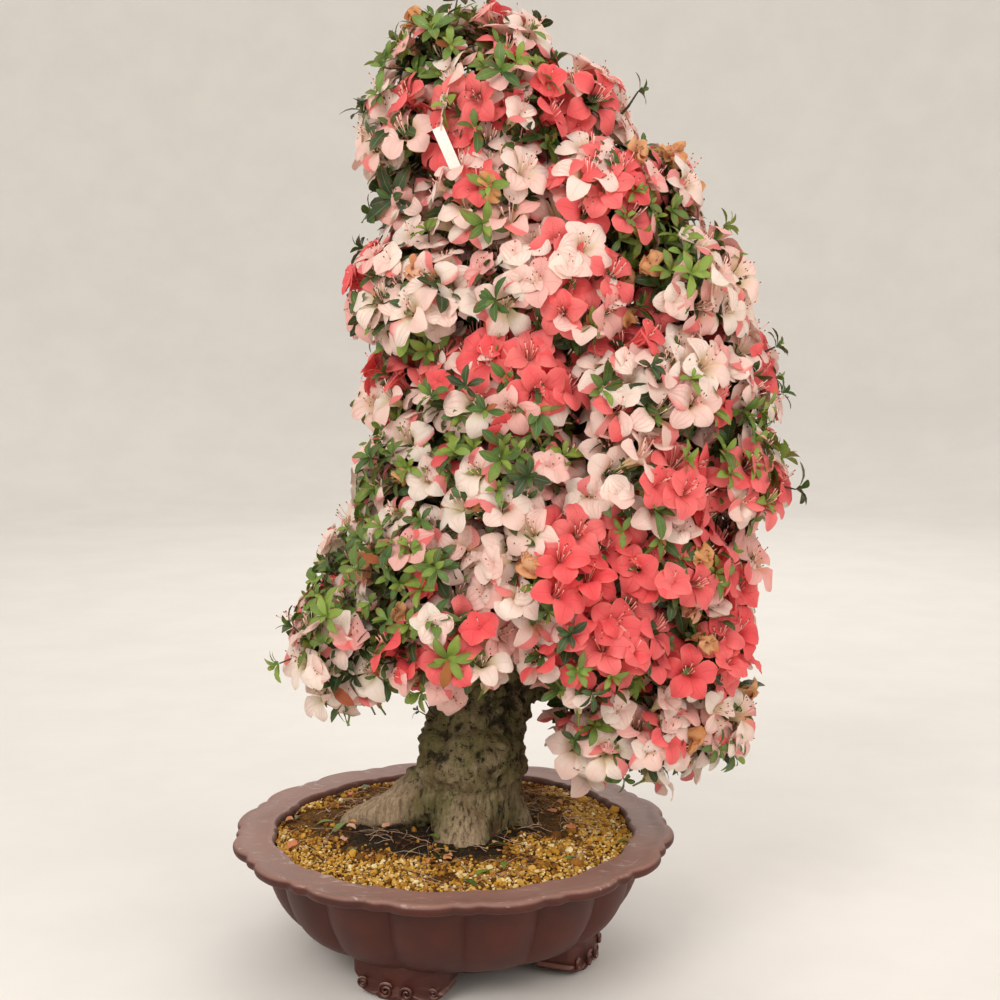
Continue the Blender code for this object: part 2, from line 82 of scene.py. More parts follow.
class Signal:
    """A socket in shader arithmetic: each operator on it adds a Math node."""

    def __init__(self, board: "Board", socket: bpy.types.NodeSocket) -> None:
        """Keep the board and the socket.

        Args:
            board: the board whose tree holds the socket.
            socket: the output that carries the value.
        """
        self.board = board
        self.socket = socket

    def joined(self, operation: str, first: "Operand", second: "Operand" = 0.0) -> "Signal":
        """One Math node.

        Args:
            operation: the Math node's operation.
            first: the first operand.
            second: the second operand.

        Returns:
            The node's result.
        """
        made = self.board.node("ShaderNodeMath", {"operation": operation}, {0: first, 1: second})
        return Signal(self.board, made.outputs[0])

    def __add__(self, other: "Operand") -> "Signal":
        """The sum."""
        return self.joined("ADD", self, other)

    def __radd__(self, other: "Operand") -> "Signal":
        """The sum, with a number first."""
        return self.joined("ADD", other, self)

    def __sub__(self, other: "Operand") -> "Signal":
        """The difference."""
        return self.joined("SUBTRACT", self, other)

    def __rsub__(self, other: "Operand") -> "Signal":
        """The difference, with a number first."""
        return self.joined("SUBTRACT", other, self)

    def __mul__(self, other: "Operand") -> "Signal":
        """The product."""
        return self.joined("MULTIPLY", self, other)

    def __rmul__(self, other: "Operand") -> "Signal":
        """The product, with a number first."""
        return self.joined("MULTIPLY", other, self)

    def __gt__(self, other: "Operand") -> "Signal":
        """1 where this is the greater, and otherwise 0."""
        return self.joined("GREATER_THAN", self, other)

    def __abs__(self) -> "Signal":
        """The size without its sign."""
        return self.joined("ABSOLUTE", self)

    def sine(self) -> "Signal":
        """The sine."""
        return self.joined("SINE", self)


Operand = Union[Signal, float]


class Board:
    """The node tree of one finish, written from its patterns to its surface."""

    def __init__(self, name: str) -> None:
        """Start an empty material.

        Args:
            name: the material's name.
        """
        self.material = bpy.data.materials.new(name)
        self.material.use_nodes = True
        self.tree = self.material.node_tree
        self.tree.nodes.clear()

    def node(
        self, kind: str, settings: Optional[dict] = None, inputs: Optional[dict] = None
    ) -> bpy.types.Node:
        """Add one node.

        Args:
            kind: the node's type.
            settings: its properties; "stops" is a colour ramp's list of (place, colour).
            inputs: the values or links of its sockets, by name or index.

        Returns:
            The node.
        """
        made = self.tree.nodes.new(kind)
        for key, value in (settings or {}).items():
            if key == "stops":
                self._set_stops(made.color_ramp, value)
            else:
                setattr(made, key, value)
        for key, value in (inputs or {}).items():
            if isinstance(value, Signal):
                self.tree.links.new(value.socket, made.inputs[key])
            else:
                made.inputs[key].default_value = value
        return made

    @staticmethod
    def _set_stops(ramp: bpy.types.ColorRamp, stops: Sequence[tuple[float, Colour]]) -> None:
        """Give a ramp its stops.

        Args:
            ramp: the colour ramp.
            stops: (place, colour) pairs in order.
        """
        while len(ramp.elements) < len(stops):
            ramp.elements.new(1.0)
        for element, (place, colour) in zip(ramp.elements, stops):
            element.position = place
            element.color = colour

    def out(self, made: bpy.types.Node, key: Union[int, str] = 0) -> Signal:
        """A node's output as a signal."""
        return Signal(self, made.outputs[key])

    def place(self, stretch: Sequence[float] = (1.0, 1.0, 1.0)) -> Signal:
        """The point on the piece, in metres, stretched along the axes.

        Args:
            stretch: the factor on each axis.

        Returns:
            The vector signal.
        """
        here = self.out(self.node("ShaderNodeTexCoord"), "Object")
        return self.out(self.node("ShaderNodeMapping", {}, {"Vector": here, "Scale": stretch}))

    def noise(self, where: Signal, scale: float, detail: float = 2.0, rough: float = 0.5) -> Signal:
        """Soft noise from 0 to 1.

        Args:
            where: the vector that it reads.
            scale: its features per metre.
            detail: its octaves.
            rough: how strong the finer octaves are.

        Returns:
            The noise value.
        """
        inputs = {"Vector": where, "Scale": scale, "Detail": detail, "Roughness": rough}
        return self.out(self.node("ShaderNodeTexNoise", {}, inputs))

    def cells(self, where: Signal, scale: float, feature: str = "F1") -> bpy.types.Node:
        """Cells of about one size, with their distance and colour outputs.

        Args:
            where: the vector that they read.
            scale: cells per metre.
            feature: F1 for the distance to the middle, DISTANCE_TO_EDGE for the borders.

        Returns:
            The Voronoi node.
        """
        return self.node("ShaderNodeTexVoronoi", {"feature": feature}, {"Vector": where, "Scale": scale})

    def step(self, value: Signal, low: float, high: float) -> Signal:
        """A smooth step from 0 at low to 1 at high.

        Args:
            value: what is compared.
            low: where the step starts.
            high: where it ends.

        Returns:
            The step's value.
        """
        inputs = {"Value": value, "From Min": low, "From Max": high}
        return self.out(self.node("ShaderNodeMapRange", {"interpolation_type": "SMOOTHSTEP"}, inputs))

    def mix(
        self, share: Operand, low: Union[Signal, Colour], high: Union[Signal, Colour], way: str = "MIX"
    ) -> Signal:
        """Two colours mixed.

        Args:
            share: how much of the second there is.
            low: the first colour.
            high: the second colour.
            way: the blend type.

        Returns:
            The mixed colour.
        """
        settings = {"data_type": "RGBA", "blend_type": way}
        return self.out(self.node("ShaderNodeMix", settings, {0: share, 6: low, 7: high}), 2)

    def ramp(self, value: Signal, stops: Sequence[tuple[float, Colour]]) -> Signal:
        """A colour picked along a ramp."""
        return self.out(self.node("ShaderNodeValToRGB", {"stops": stops}, {"Fac": value}))

    def tones(self) -> tuple[Signal, Signal, Signal, Signal]:
        """The four numbers that each point of a clustered piece carries.

        Returns:
            The red, green, blue and alpha parts of the piece's tones.
        """
        held = self.node("ShaderNodeAttribute", {"attribute_name": "tones"})
        parts = self.node("ShaderNodeSeparateColor", {}, {0: self.out(held, "Color")})
        return self.out(parts, 0), self.out(parts, 1), self.out(parts, 2), self.out(held, "Alpha")

    def lay(self) -> tuple[Signal, Signal]:
        """The place across and along a blade, each from 0 to 1.

        Returns:
            The place across and the place along.
        """
        held = self.node("ShaderNodeUVMap", {"uv_map": "lay"})
        parts = self.node("ShaderNodeSeparateXYZ", {}, {0: self.out(held)})
        return self.out(parts, 0), self.out(parts, 1)

    def bump(self, height: Signal, strength: float, depth: float) -> Signal:
        """A normal bumped by a height.

        Args:
            height: the height from 0 to 1.
            strength: how much of it shows.
            depth: its depth in metres.

        Returns:
            The normal.
        """
        inputs = {"Height": height, "Strength": strength, "Distance": depth}
        return self.out(self.node("ShaderNodeBump", {}, inputs), "Normal")

    def surface(self, varied: dict, fixed: dict, glow: float = 0.0) -> bpy.types.Material:
        """Close the tree with its shader.

        Args:
            varied: the sockets of the shader that change over the surface.
            fixed: the sockets that don't.
            glow: the share of light that a thin blade lets through.

        Returns:
            The finished material.
        """
        shader = self.node("ShaderNodeBsdfPrincipled", {}, {**fixed, **varied})
        last = self.out(shader)
        if glow:
            through = self.node("ShaderNodeBsdfTranslucent", {}, {"Color": varied["Base Color"]})
            last = self.out(self.node("ShaderNodeMixShader", {}, {0: glow, 1: last, 2: self.out(through)}))
        self.node("ShaderNodeOutputMaterial", {}, {"Surface": last})
        return self.material


# ---------------------------------------------------------------- finishes


@dataclass(frozen=True)
class PetalFinish:
    """Thin petals: cream with pink streaks, or coral, with a freckled upper lobe."""

    cream: Colour = shade(253, 238, 226)
    blush: Colour = shade(250, 202, 192)
    streak: Colour = shade(242, 122, 122)
    coral: Colour = shade(250, 88, 92)
    # deep: a darker coral for the veins, and the painted shade of the throat and midrib.
    deep: Colour = shade(214, 46, 62)
    throat: Colour = shade(226, 214, 140)
    freckle: Colour = shade(168, 40, 62)
    withered: Colour = shade(240, 196, 138)

    def material(self) -> bpy.types.Material:
        """The petals' material, which reads each flower's tones and each petal's lay."""
        board = Board("petal")
        tint, seed, upper, wilt = board.tones()
        across, along = board.lay()
        here = board.place()
        side = abs(across - 0.5) * 2.0
        fan = (across - 0.5) * (along + 0.35)
        soft = board.noise(here, 60.0, 2.0)
        lines = board.step((fan * 30.0 + seed * 40.0 + soft * 9.0).sine(), 0.35, 1.0)
        streaky = board.step((seed * 61.0).sine() + (seed * 17.0).sine() * 0.6, 0.0, 1.1)
        half = board.step((across - 0.5) * (seed * 88.0).sine() * 8.0, 0.3, 1.0)
        split = board.step((seed * 133.0).sine(), 0.55, 0.75)
        flush = board.step(soft + (seed * 29.0).sine() * 0.35, 0.35, 0.95)
        pale = board.mix(flush * 0.6, self.cream, self.blush)
        pale = board.mix(lines * streaky * board.step(along, 0.2, 0.6) * 0.3, pale, self.streak)
        pale = board.mix(half * split * 0.9, pale, self.streak)
        pale = board.mix(board.step(1.0 - along, 0.55, 0.95) * 0.65, pale, self.throat)
        veins = board.step((fan * 90.0 + soft * 2.0).sine(), -0.2, 0.9)
        # Coral petals are painted paler towards their sides: a painted glow of light through the thin
        # margins.
        rich = board.mix(board.step(side + soft * 0.6, 0.6, 1.4) * 0.45, self.coral, shade(250, 128, 124))
        rich = board.mix(veins * 0.12, rich, self.deep)
        # Coral petals darken towards the throat: painted shade inside the funnel.
        rich = board.mix(board.step(1.0 - along, 0.4, 0.95) * 0.55, rich, self.deep)
        colour = board.mix(tint, pale, rich)
        # A darker line along each petal's midrib: painted shade in its groove.
        crease = board.step(0.09 - side, 0.0, 0.08)
        crease = crease * board.step(along, 0.25, 0.5) * board.step(1.0 - along, 0.05, 0.3)
        colour = board.mix(crease * 0.35, colour, board.mix(tint, self.blush, self.deep))
        dots = board.cells(here, 640.0)
        speck = board.step(0.26 - board.out(dots, "Distance"), 0.0, 0.1)
        zone = board.step(along, 0.22, 0.34) * board.step(0.78 - along, 0.0, 0.2)
        zone = zone * board.step(0.75 - side, 0.0, 0.3)
        colour = board.mix(speck * zone * upper * 0.6, colour, self.freckle)
        brown = board.mix(board.noise(here, 140.0, 3.0), self.withered, shade(214, 132, 66))
        edge = board.step(side, 0.7, 1.0) * board.step((seed * 211.0).sine(), 0.45, 0.8) * 0.5
        colour = board.mix(board.step(wilt + edge, 0.2, 0.9), colour, brown)
        height = veins * 0.5 + board.noise(here, 260.0, 2.0) * 0.6 - crease * 1.2
        varied = {
            "Base Color": colour,
            "Roughness": 0.5 + soft * 0.2,
            "Normal": board.bump(height, 0.45, 0.0007),
        }
        return board.surface(varied, {"Specular IOR Level": 0.4, "Sheen Weight": 0.1}, 0.32)


@dataclass(frozen=True)
class StamenFinish:
    """Pale filaments with dark anthers, and the pinker style."""

    pale: Colour = shade(253, 232, 214)
    pink: Colour = shade(248, 160, 146)
    anther: Colour = shade(112, 52, 44)

    def material(self) -> bpy.types.Material:
        """The stamens' material, darker at each tip."""
        board = Board("stamen")
        tint, seed, stalk, wilt = board.tones()
        _, along = board.lay()
        colour = board.mix(board.step(along + seed * 0.3, 0.2, 1.0) * 0.4 + tint * 0.45, self.pale, self.pink)
        colour = board.mix(stalk, colour, shade(122, 140, 62))
        colour = board.mix(wilt, colour, shade(170, 100, 60))
        colour = board.mix(board.step(along, 0.94, 0.98) * (1.0 - stalk), colour, self.anther)
        grain = board.noise(board.place(), 900.0, 2.0)
        varied = {
            "Base Color": colour,
            "Roughness": 0.45 + grain * 0.2,
            "Normal": board.bump(grain, 0.2, 0.0002),
        }
        return board.surface(varied, {"Specular IOR Level": 0.35})


@dataclass(frozen=True)
class LeafFinish:
    """Glossy leaves, yellow-green when young and dark when old, with a paler midrib; leaves deep in the crown
    get the dark tone as painted shade.
    """

    young: Colour = shade(134, 160, 62)
    ripe: Colour = shade(66, 100, 42)
    old: Colour = shade(30, 50, 26)
    rib: Colour = shade(146, 164, 88)
    rust: Colour = shade(140, 78, 40)

    def material(self) -> bpy.types.Material:
        """The leaves' material, which reads each leaf's age, darkened for deep leaves as painted shade, and
        its lay.
        """
        board = Board("leaf")
        youth_and_shade, _, rust, dull = board.tones()
        across, along = board.lay()
        here = board.place()
        side = abs(across - 0.5) * 2.0
        mottle = board.noise(here, 320.0, 3.0)
        ages = [(0.0, self.old), (0.5, self.ripe), (1.0, self.young)]
        # The age tone is also painted shade: leaves deep in the crown are given the dark old green.
        green = board.ramp(youth_and_shade + (mottle - 0.5) * 0.25, ages)
        herring = board.step(((side * 5.0 - along * 11.0) * 6.2832).sine(), 0.55, 1.0)
        green = board.mix(herring * 0.14, green, self.rib)
        green = board.mix(board.step(0.10 - side, 0.0, 0.1) * 0.5, green, self.rib)
        worn = board.step(board.noise(here, 90.0, 2.0) + side * 0.35 + along * 0.2, 0.82, 1.05)
        green = board.mix(worn * 0.55, green, self.rust)
        green = board.mix(rust, green, shade(168, 74, 34))
        height = (1.0 - side) * 0.5 + (1.0 - herring) * 0.25 + mottle * 0.25
        varied = {
            "Base Color": green,
            "Roughness": 0.3 + mottle * 0.25 + dull * 0.2,
            "Normal": board.bump(height, 0.35, 0.0007),
        }
        return board.surface(varied, {"Specular IOR Level": 0.5}, 0.16)


@dataclass(frozen=True)
class TwigFinish:
    """Fine twigs, brown-grey with a reddish young end."""

    wood: Colour = shade(92, 76, 60)
    dark: Colour = shade(44, 34, 28)
    green: Colour = shade(120, 118, 66)

    def material(self) -> bpy.types.Material:
        """The twigs' material, ringed and flecked."""
        board = Board("twig")
        youth_and_shade, _, _, _ = board.tones()
        here = board.place()
        grain = board.noise(here, 420.0, 4.0, 0.7)
        colour = board.mix(board.step(grain, 0.35, 0.65), self.dark, self.wood)
        # The twig tone is higher on proud twigs: greener young wood near the surface, and browner deep twigs
        # as painted shade.
        colour = board.mix(youth_and_shade * 0.6, colour, self.green)
        varied = {
            "Base Color": colour,
            "Roughness": 0.6 + grain * 0.3,
            "Normal": board.bump(grain, 0.5, 0.0006),
        }
        return board.surface(varied, {"Specular IOR Level": 0.3})


@dataclass(frozen=True)
class BarkFinish:
    """Old bark: grey-tan burls, dark pits and cracks with painted shade in them, moss in the hollows and
    smooth beige roots.
    """

    tan: Colour = shade(140, 118, 84)
    ash: Colour = shade(192, 172, 134)
    # pit_and_shade: the dark of real pits and hollows, and the painted shade of sunk places and cracks.
    pit_and_shade: Colour = shade(30, 23, 16)
    moss: Colour = shade(122, 118, 60)
    root: Colour = shade(212, 186, 152)
    raw: Colour = shade(128, 78, 54)

    def material(self, ground: float) -> bpy.types.Material:
        """The bark's material.

        Args:
            ground: the height of the soil, below which the wood is darker.

        Returns:
            The material, which reads the wood's relief.
        """
        board = Board("bark")
        relief, hollow, smooth, low = board.tones()
        here = board.place()
        up = board.place((1.0, 1.0, 0.22))
        coarse = board.noise(here, 38.0, 4.0, 0.6)
        fibre = board.noise(up, 300.0, 4.0, 0.7)
        fleck = board.noise(here, 420.0, 4.0, 0.75)
        knurl = board.noise(here, 150.0, 6.0, 0.75)
        colour = board.mix(board.step(coarse, 0.35, 0.65), self.tan, self.ash)
        colour = board.mix(board.step(fibre, 0.35, 0.62) * 0.7, board.mix(0.45, colour, self.pit_and_shade), colour)
        beige = board.mix(board.step(fibre, 0.3, 0.7), shade(156, 130, 104), self.root)
        colour = board.mix(smooth, colour, beige)
        mossy = board.noise(here, 26.0, 3.0, 0.6) + fleck * 0.25 - low * 0.03
        green = board.step(mossy, 0.48, 0.72) * (1.0 - smooth)
        colour = board.mix(green * 0.6, colour, board.mix(fleck, self.moss, shade(82, 88, 44)))
        # Dark where the carved relief is low: painted shade in the sunk places between burls.
        sunk_shade = board.step(0.5 - relief + (fleck - 0.5) * 0.3, 0.0, 0.25)
        colour = board.mix(sunk_shade * 0.8 * (1.0 - smooth), colour, self.pit_and_shade)
        colour = board.mix(hollow * 0.6, colour, board.mix(fleck, self.raw, self.pit_and_shade))
        tall = board.out(board.node("ShaderNodeSeparateXYZ", {}, {0: here}), 2)
        # Darker round the soil line, in a band with a ragged top.
        soil_line_dark = board.step(ground + 0.004 + (coarse - 0.5) * 0.03 - tall, 0.0, 0.008)
        colour = board.mix(soil_line_dark * 0.75, colour, shade(50, 40, 28))
        # Dark at the low points of the bump's knurls, splits and flecks: painted shade in the cracks and
        # pits.
        gap = board.step(0.47 - knurl, 0.0, 0.08) * (1.0 - low) * (1.0 - smooth)
        colour = board.mix(gap * 0.9, colour, self.pit_and_shade)
        split = board.step(0.44 - fibre, 0.0, 0.07) * low * (1.0 - smooth)
        colour = board.mix(split * 0.9, colour, self.pit_and_shade)
        colour = board.mix(board.step(0.42 - fleck, 0.0, 0.1) * 0.4 * (1.0 - smooth), colour, self.pit_and_shade)
        height = fibre * 0.5 + fleck * 0.5 + knurl * 1.4 - split * 0.5
        varied = {
            "Base Color": colour,
            "Roughness": 0.72 + fleck * 0.25,
            "Normal": board.bump(height, 1.0, 0.0044),
        }
        return board.surface(varied, {"Specular IOR Level": 0.25})


@dataclass(frozen=True)
class ClayFinish:
    """Unglazed dark red-brown clay with a dusty lip painted paler on top as painted light, scratches with a
    painted highlight, and lime marks.
    """

    body: Colour = shade(58, 21, 13)
    warm: Colour = shade(78, 33, 21)
    # dust_and_top_light: dust, and the painted light and reflection on upward faces.
    dust_and_top_light: Colour = shade(158, 120, 108)
    lime: Colour = shade(205, 190, 182)

    def material(self, axis: Vector) -> bpy.types.Material:
        """The clay's material, paler where it faces up: dust, and painted light from above.

        Args:
            axis: the middle of the pot, which the scratches run round.

        Returns:
            The material.
        """
        board = Board("pot_clay")
        here = board.place()
        facing = board.node("ShaderNodeNewGeometry")
        rise = board.out(board.node("ShaderNodeSeparateXYZ", {}, {0: board.out(facing, "Normal")}), 2)
        broad = board.noise(here, 14.0, 4.0, 0.6)
        grain = board.noise(here, 900.0, 3.0, 0.6)
        streak = board.noise(board.place((1.0, 5.0, 9.0)), 40.0, 4.0, 0.7)
        colour = board.mix(board.step(broad, 0.3, 0.7), self.body, self.warm)
        colour = board.mix(grain * 0.25, colour, shade(78, 36, 28))
        split = board.node("ShaderNodeSeparateXYZ", {}, {0: here})
        far, deep = board.out(split, 0) - axis.x, board.out(split, 1) - axis.y
        turn = far.joined("ARCTAN2", deep, far)
        reach = far.joined("POWER", far * far + deep * deep, 0.5)
        parts = {0: turn * 3.0, 1: reach * 190.0, 2: board.out(split, 2) * 60.0}
        ringed = board.out(board.node("ShaderNodeCombineXYZ", {}, parts))
        # Paler on the upward faces: dust, and painted light and reflection from above.
        top = board.step(rise, 0.25, 0.85)
        colour = board.mix(top * (0.5 + broad * 0.45), colour, self.dust_and_top_light)
        # Pale rings round the pot on its upward faces: scratches, and a painted highlight on the rim.
        scratch_and_glint = board.step(board.noise(ringed, 1.6, 3.0, 0.6), 0.66, 0.70)
        inward = board.step(0.178 - reach, 0.0, 0.008)
        crust = board.step(board.noise(here, 46.0, 4.0, 0.65) + inward * 0.10, 0.62, 0.74)
        crust = crust * top
        marks = board.step(streak + top * 0.08, 0.66, 0.78) * board.step(rise, -0.3, 0.5)
        colour = board.mix(marks * 0.5, colour, self.lime)
        colour = board.mix(scratch_and_glint * top * 0.5, colour, self.lime)
        colour = board.mix(crust * 0.45, colour, self.lime)
        varied = {
            "Base Color": colour,
            "Roughness": 0.40 + grain * 0.12 + marks * 0.2 + broad * 0.14 - top * 0.08,
            "Normal": board.bump(grain * 0.5 + broad * 0.6 + scratch_and_glint * 0.3, 0.3, 0.0012),
        }
        return board.surface(varied, {"Specular IOR Level": 0.34})


@dataclass(frozen=True)
class SoilFinish:
    """Damp soil between the granules: dark near the wood, ochre towards the wall."""

    muck: Colour = shade(34, 27, 18)
    ochre: Colour = shade(150, 104, 36)

    def material(self, middle: Vector) -> bpy.types.Material:
        """The soil's material.

        Args:
            middle: the middle of the muck round the tree's foot.

        Returns:
            The material.
        """
        board = Board("soil_grain")
        here = board.place()
        apart = board.node("ShaderNodeVectorMath", {"operation": "DISTANCE"}, {0: here, 1: middle})
        away = board.out(apart, "Value")
        lumps = board.cells(here, 260.0)
        loose = board.noise(here, 120.0, 4.0, 0.6)
        reach = board.step(away + (loose - 0.5) * 0.08, 0.075, 0.125)
        colour = board.mix(reach, self.muck, board.mix(loose, self.ochre, shade(92, 62, 26)))
        # Darker towards the lumps' edges, where the bump is low: painted shade between the lumps.
        colour = board.mix(board.out(lumps, "Distance") * 0.8, colour, shade(52, 36, 18))
        green = board.step(board.noise(here, 60.0, 3.0), 0.56, 0.66) * (1.0 - reach)
        colour = board.mix(green * 0.7, colour, shade(62, 70, 26))
        varied = {
            "Base Color": colour,
            "Roughness": 0.9 + loose * 0.08,
            "Normal": board.bump(board.out(lumps, "Distance") * -1.0 + loose, 1.0, 0.004),
        }
        return board.surface(varied, {"Specular IOR Level": 0.2})


@dataclass(frozen=True)
class GranuleFinish:
    """Fired clay and pumice granules, from cream through ochre to brown."""

    stops: tuple[tuple[float, Colour], ...] = (
        (0.0, shade(72, 48, 24)),
        (0.25, shade(132, 84, 30)),
        (0.55, shade(186, 134, 44)),
        (0.8, shade(208, 164, 74)),
        (1.0, shade(232, 216, 168)),
    )

    def material(self) -> bpy.types.Material:
        """The granules' material, one shade for each grain."""
        board = Board("granule")
        pick, _, _, _ = board.tones()
        grain = board.noise(board.place(), 900.0, 3.0, 0.6)
        colour = board.ramp(pick + (grain - 0.5) * 0.3, list(self.stops))
        varied = {
            "Base Color": colour,
            "Roughness": 0.8 + grain * 0.15,
            "Normal": board.bump(grain, 0.6, 0.0008),
        }
        return board.surface(varied, {"Specular IOR Level": 0.25})


@dataclass(frozen=True)
class LitterFinish:
    """Dry threads and twigs, from straw to red-brown."""

    straw: Colour = shade(206, 178, 150)
    red: Colour = shade(120, 62, 42)

    def material(self) -> bpy.types.Material:
        """The threads' material."""
        board = Board("litter")
        pick, _, _, _ = board.tones()
        grain = board.noise(board.place(), 700.0, 2.0)
        colour = board.mix(board.step(pick + (grain - 0.5) * 0.3, 0.2, 0.8), self.red, self.straw)
        varied = {
            "Base Color": colour,
            "Roughness": 0.7 + grain * 0.2,
            "Normal": board.bump(grain, 0.4, 0.0003),
        }
        return board.surface(varied, {"Specular IOR Level": 0.25})


@dataclass(frozen=True)
class PlainFinish:
    """A plain made surface with a fine grain."""

    name: str
    colour: Colour
    second: Colour
    roughness: float
    scale: float
    depth: float

    def material(self) -> bpy.types.Material:
        """The material: two near shades in a fine grain."""
        board = Board(self.name)
        grain = board.noise(board.place(), self.scale, 3.0, 0.6)
        varied = {
            "Base Color": board.mix(board.step(grain, 0.3, 0.7), self.colour, self.second),
            "Roughness": self.roughness + grain * 0.1,
            "Normal": board.bump(grain, 0.3, self.depth),
        }
        return board.surface(varied, {})


# ---------------------------------------------------------------- modelling by hand


class Bench:
    """Operators on one piece at a time, with everything deselected first."""

    @staticmethod
    def clear() -> None:
        """Leave edit mode and deselect everything."""
        if bpy.context.object and bpy.context.object.mode != "OBJECT":
            bpy.ops.object.mode_set(mode="OBJECT")
        bpy.ops.object.select_all(action="DESELECT")

    @staticmethod
    def take(piece: bpy.types.Object) -> bpy.types.Object:
        """Select one piece alone and make it active.

        Args:
            piece: the piece to work on.

        Returns:
            The same piece.
        """
        Bench.clear()
        piece.select_set(True)
        bpy.context.view_layer.objects.active = piece
        return piece

    @staticmethod
    def edit(piece: bpy.types.Object) -> None:
        """Open a piece in edit mode with nothing selected."""
        Bench.take(piece)
        bpy.ops.object.mode_set(mode="EDIT")
        bpy.ops.mesh.select_mode(type="VERT")
        bpy.ops.mesh.select_all(action="DESELECT")

    @staticmethod
    def pick(piece: bpy.types.Object, test: Callable[[Vector], bool]) -> None:
        """Select the points that pass a test, in edit mode.

        Args:
            piece: the piece in edit mode.
            test: says of a place whether its point is selected.
        """
        bpy.ops.mesh.select_all(action="DESELECT")
        shape = bmesh.from_edit_mesh(piece.data)
        for point in shape.verts:
            point.select_set(test(point.co))
        shape.select_flush_mode()
        bmesh.update_edit_mesh(piece.data)

    @staticmethod
    def modify(piece: bpy.types.Object, kind: str, **settings: object) -> None:
        """Add one modifier and apply it.

        Args:
            piece: the piece that gets it.
            kind: the modifier's type.
            settings: its properties.
        """
        Bench.take(piece)
        made = piece.modifiers.new(kind.lower(), kind)
        for key, value in settings.items():
            setattr(made, key, value)
        bpy.ops.object.modifier_apply(modifier=made.name)

    @staticmethod
    def join(pieces: Sequence[bpy.types.Object]) -> bpy.types.Object:
        """Join pieces into the first of them.

        Args:
            pieces: the pieces.

        Returns:
            The first piece, which holds them all.
        """
        Bench.take(pieces[0])
        for piece in pieces:
            piece.select_set(True)
        bpy.ops.object.join()
        return pieces[0]

    @staticmethod
    def drop(piece: bpy.types.Object) -> None:
        """Remove a helper and its mesh."""
        mesh = piece.data
        bpy.data.objects.remove(piece)
        bpy.data.meshes.remove(mesh)

    @staticmethod
    def loft(name: str, rings: Sequence[Sequence[Vector]], closed: bool = True) -> bpy.types.Object:
        """Draw a ring of points through a row of places, by extruding it ring by ring.

        Args:
            name: the piece's name.
            rings: each ring's points, all of one count.
            closed: whether both ends are drawn together into a pole.

        Returns:
            The lofted piece, with its faces outward.
        """
        Bench.clear()
        bpy.ops.mesh.primitive_circle_add(vertices=len(rings[0]), radius=1.0)
        piece = bpy.context.object
        piece.name = name
        piece.data.name = name
        Bench.edit(piece)
        shape = bmesh.from_edit_mesh(piece.data)
        for point, place in zip(shape.verts, rings[0]):
            point.co = place
        bpy.ops.mesh.select_all(action="SELECT")
        for before, after in zip(rings, rings[1:]):
            bpy.ops.mesh.extrude_region_move()
            Bench._move_ring(piece, before, after)
        if closed:
            for ring in (rings[-1], rings[0]):
                spots = {tuple(round(c, 6) for c in place) for place in ring}
                Bench.pick(piece, lambda co, s=spots: tuple(round(c, 6) for c in co) in s)
                bpy.ops.mesh.extrude_region_move()
                bpy.ops.mesh.merge(type="CENTER")
        bpy.ops.mesh.select_all(action="SELECT")
        bpy.ops.mesh.normals_make_consistent(inside=False)
        bpy.ops.object.mode_set(mode="OBJECT")
        return piece

    @staticmethod
    def _move_ring(piece: bpy.types.Object, before: Sequence[Vector], after: Sequence[Vector]) -> None:
        """Move the ring just extruded to its own places.

        Args:
            piece: the piece in edit mode.
            before: where the ring was extruded from.
            after: where each of its points goes.
        """
        goes = {tuple(round(c, 6) for c in old): new for old, new in zip(before, after)}
        shape = bmesh.from_edit_mesh(piece.data)
        for point in shape.verts:
            if point.select:
                point.co = goes[tuple(round(c, 6) for c in point.co)]
        bmesh.update_edit_mesh(piece.data)

    @staticmethod
    def finish(
        piece: bpy.types.Object, material: bpy.types.Material, angle: float = 50.0
    ) -> bpy.types.Object:
        """Give a piece its material and smooth shading.

        Args:
            piece: the piece.
            material: its finish.
            angle: the sharpest smooth edge, in degrees.

        Returns:
            The same piece.
        """
        piece.data.materials.clear()
        piece.data.materials.append(material)
        Bench.take(piece)
        bpy.ops.object.shade_smooth_by_angle(angle=math.radians(angle))
        Bench.clear()
        return piece


def settle(piece: bpy.types.Object, slot: str, *nodes: str) -> bpy.types.Object:
    """Say what a finished piece rides on and what it stands for.

    Args:
        piece: the finished piece.
        slot: the record's material slot; not used.
        nodes: the CAD nodes that it replaces.

    Returns:
        The same piece.
    """
    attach(piece, "root")
    if nodes:
        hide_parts(*nodes)
    LOG.info("%s: %d faces", piece.name, len(piece.data.polygons))
    return piece


# ---------------------------------------------------------------- stamps and clusters


@dataclass
class Stamp:
    """A small shape that is modelled once and copied many times."""

    points: np.ndarray
    faces: list[tuple[int, ...]]
    lay: np.ndarray

    @staticmethod
    def of(piece: bpy.types.Object, lay: Callable[[Vector], tuple[float, float]]) -> "Stamp":
        """Take the shape of a modelled piece, and remove the piece.

        Args:
            piece: the modelled piece.
            lay: gives the place across and along of a point.

        Returns:
            The stamp.
        """
        points = np.array([vertex.co for vertex in piece.data.vertices])
        faces = [tuple(face.vertices) for face in piece.data.polygons]
        lays = np.array([lay(vertex.co) for vertex in piece.data.vertices])
        Bench.drop(piece)
        return Stamp(points, faces, lays)


@dataclass(frozen=True)
class Row:
    """One row across a blade: how far out and how high it lies, its half width and its edges' lift."""

    reach: float
    rise: float
    half: float
    lift: float = 0.0


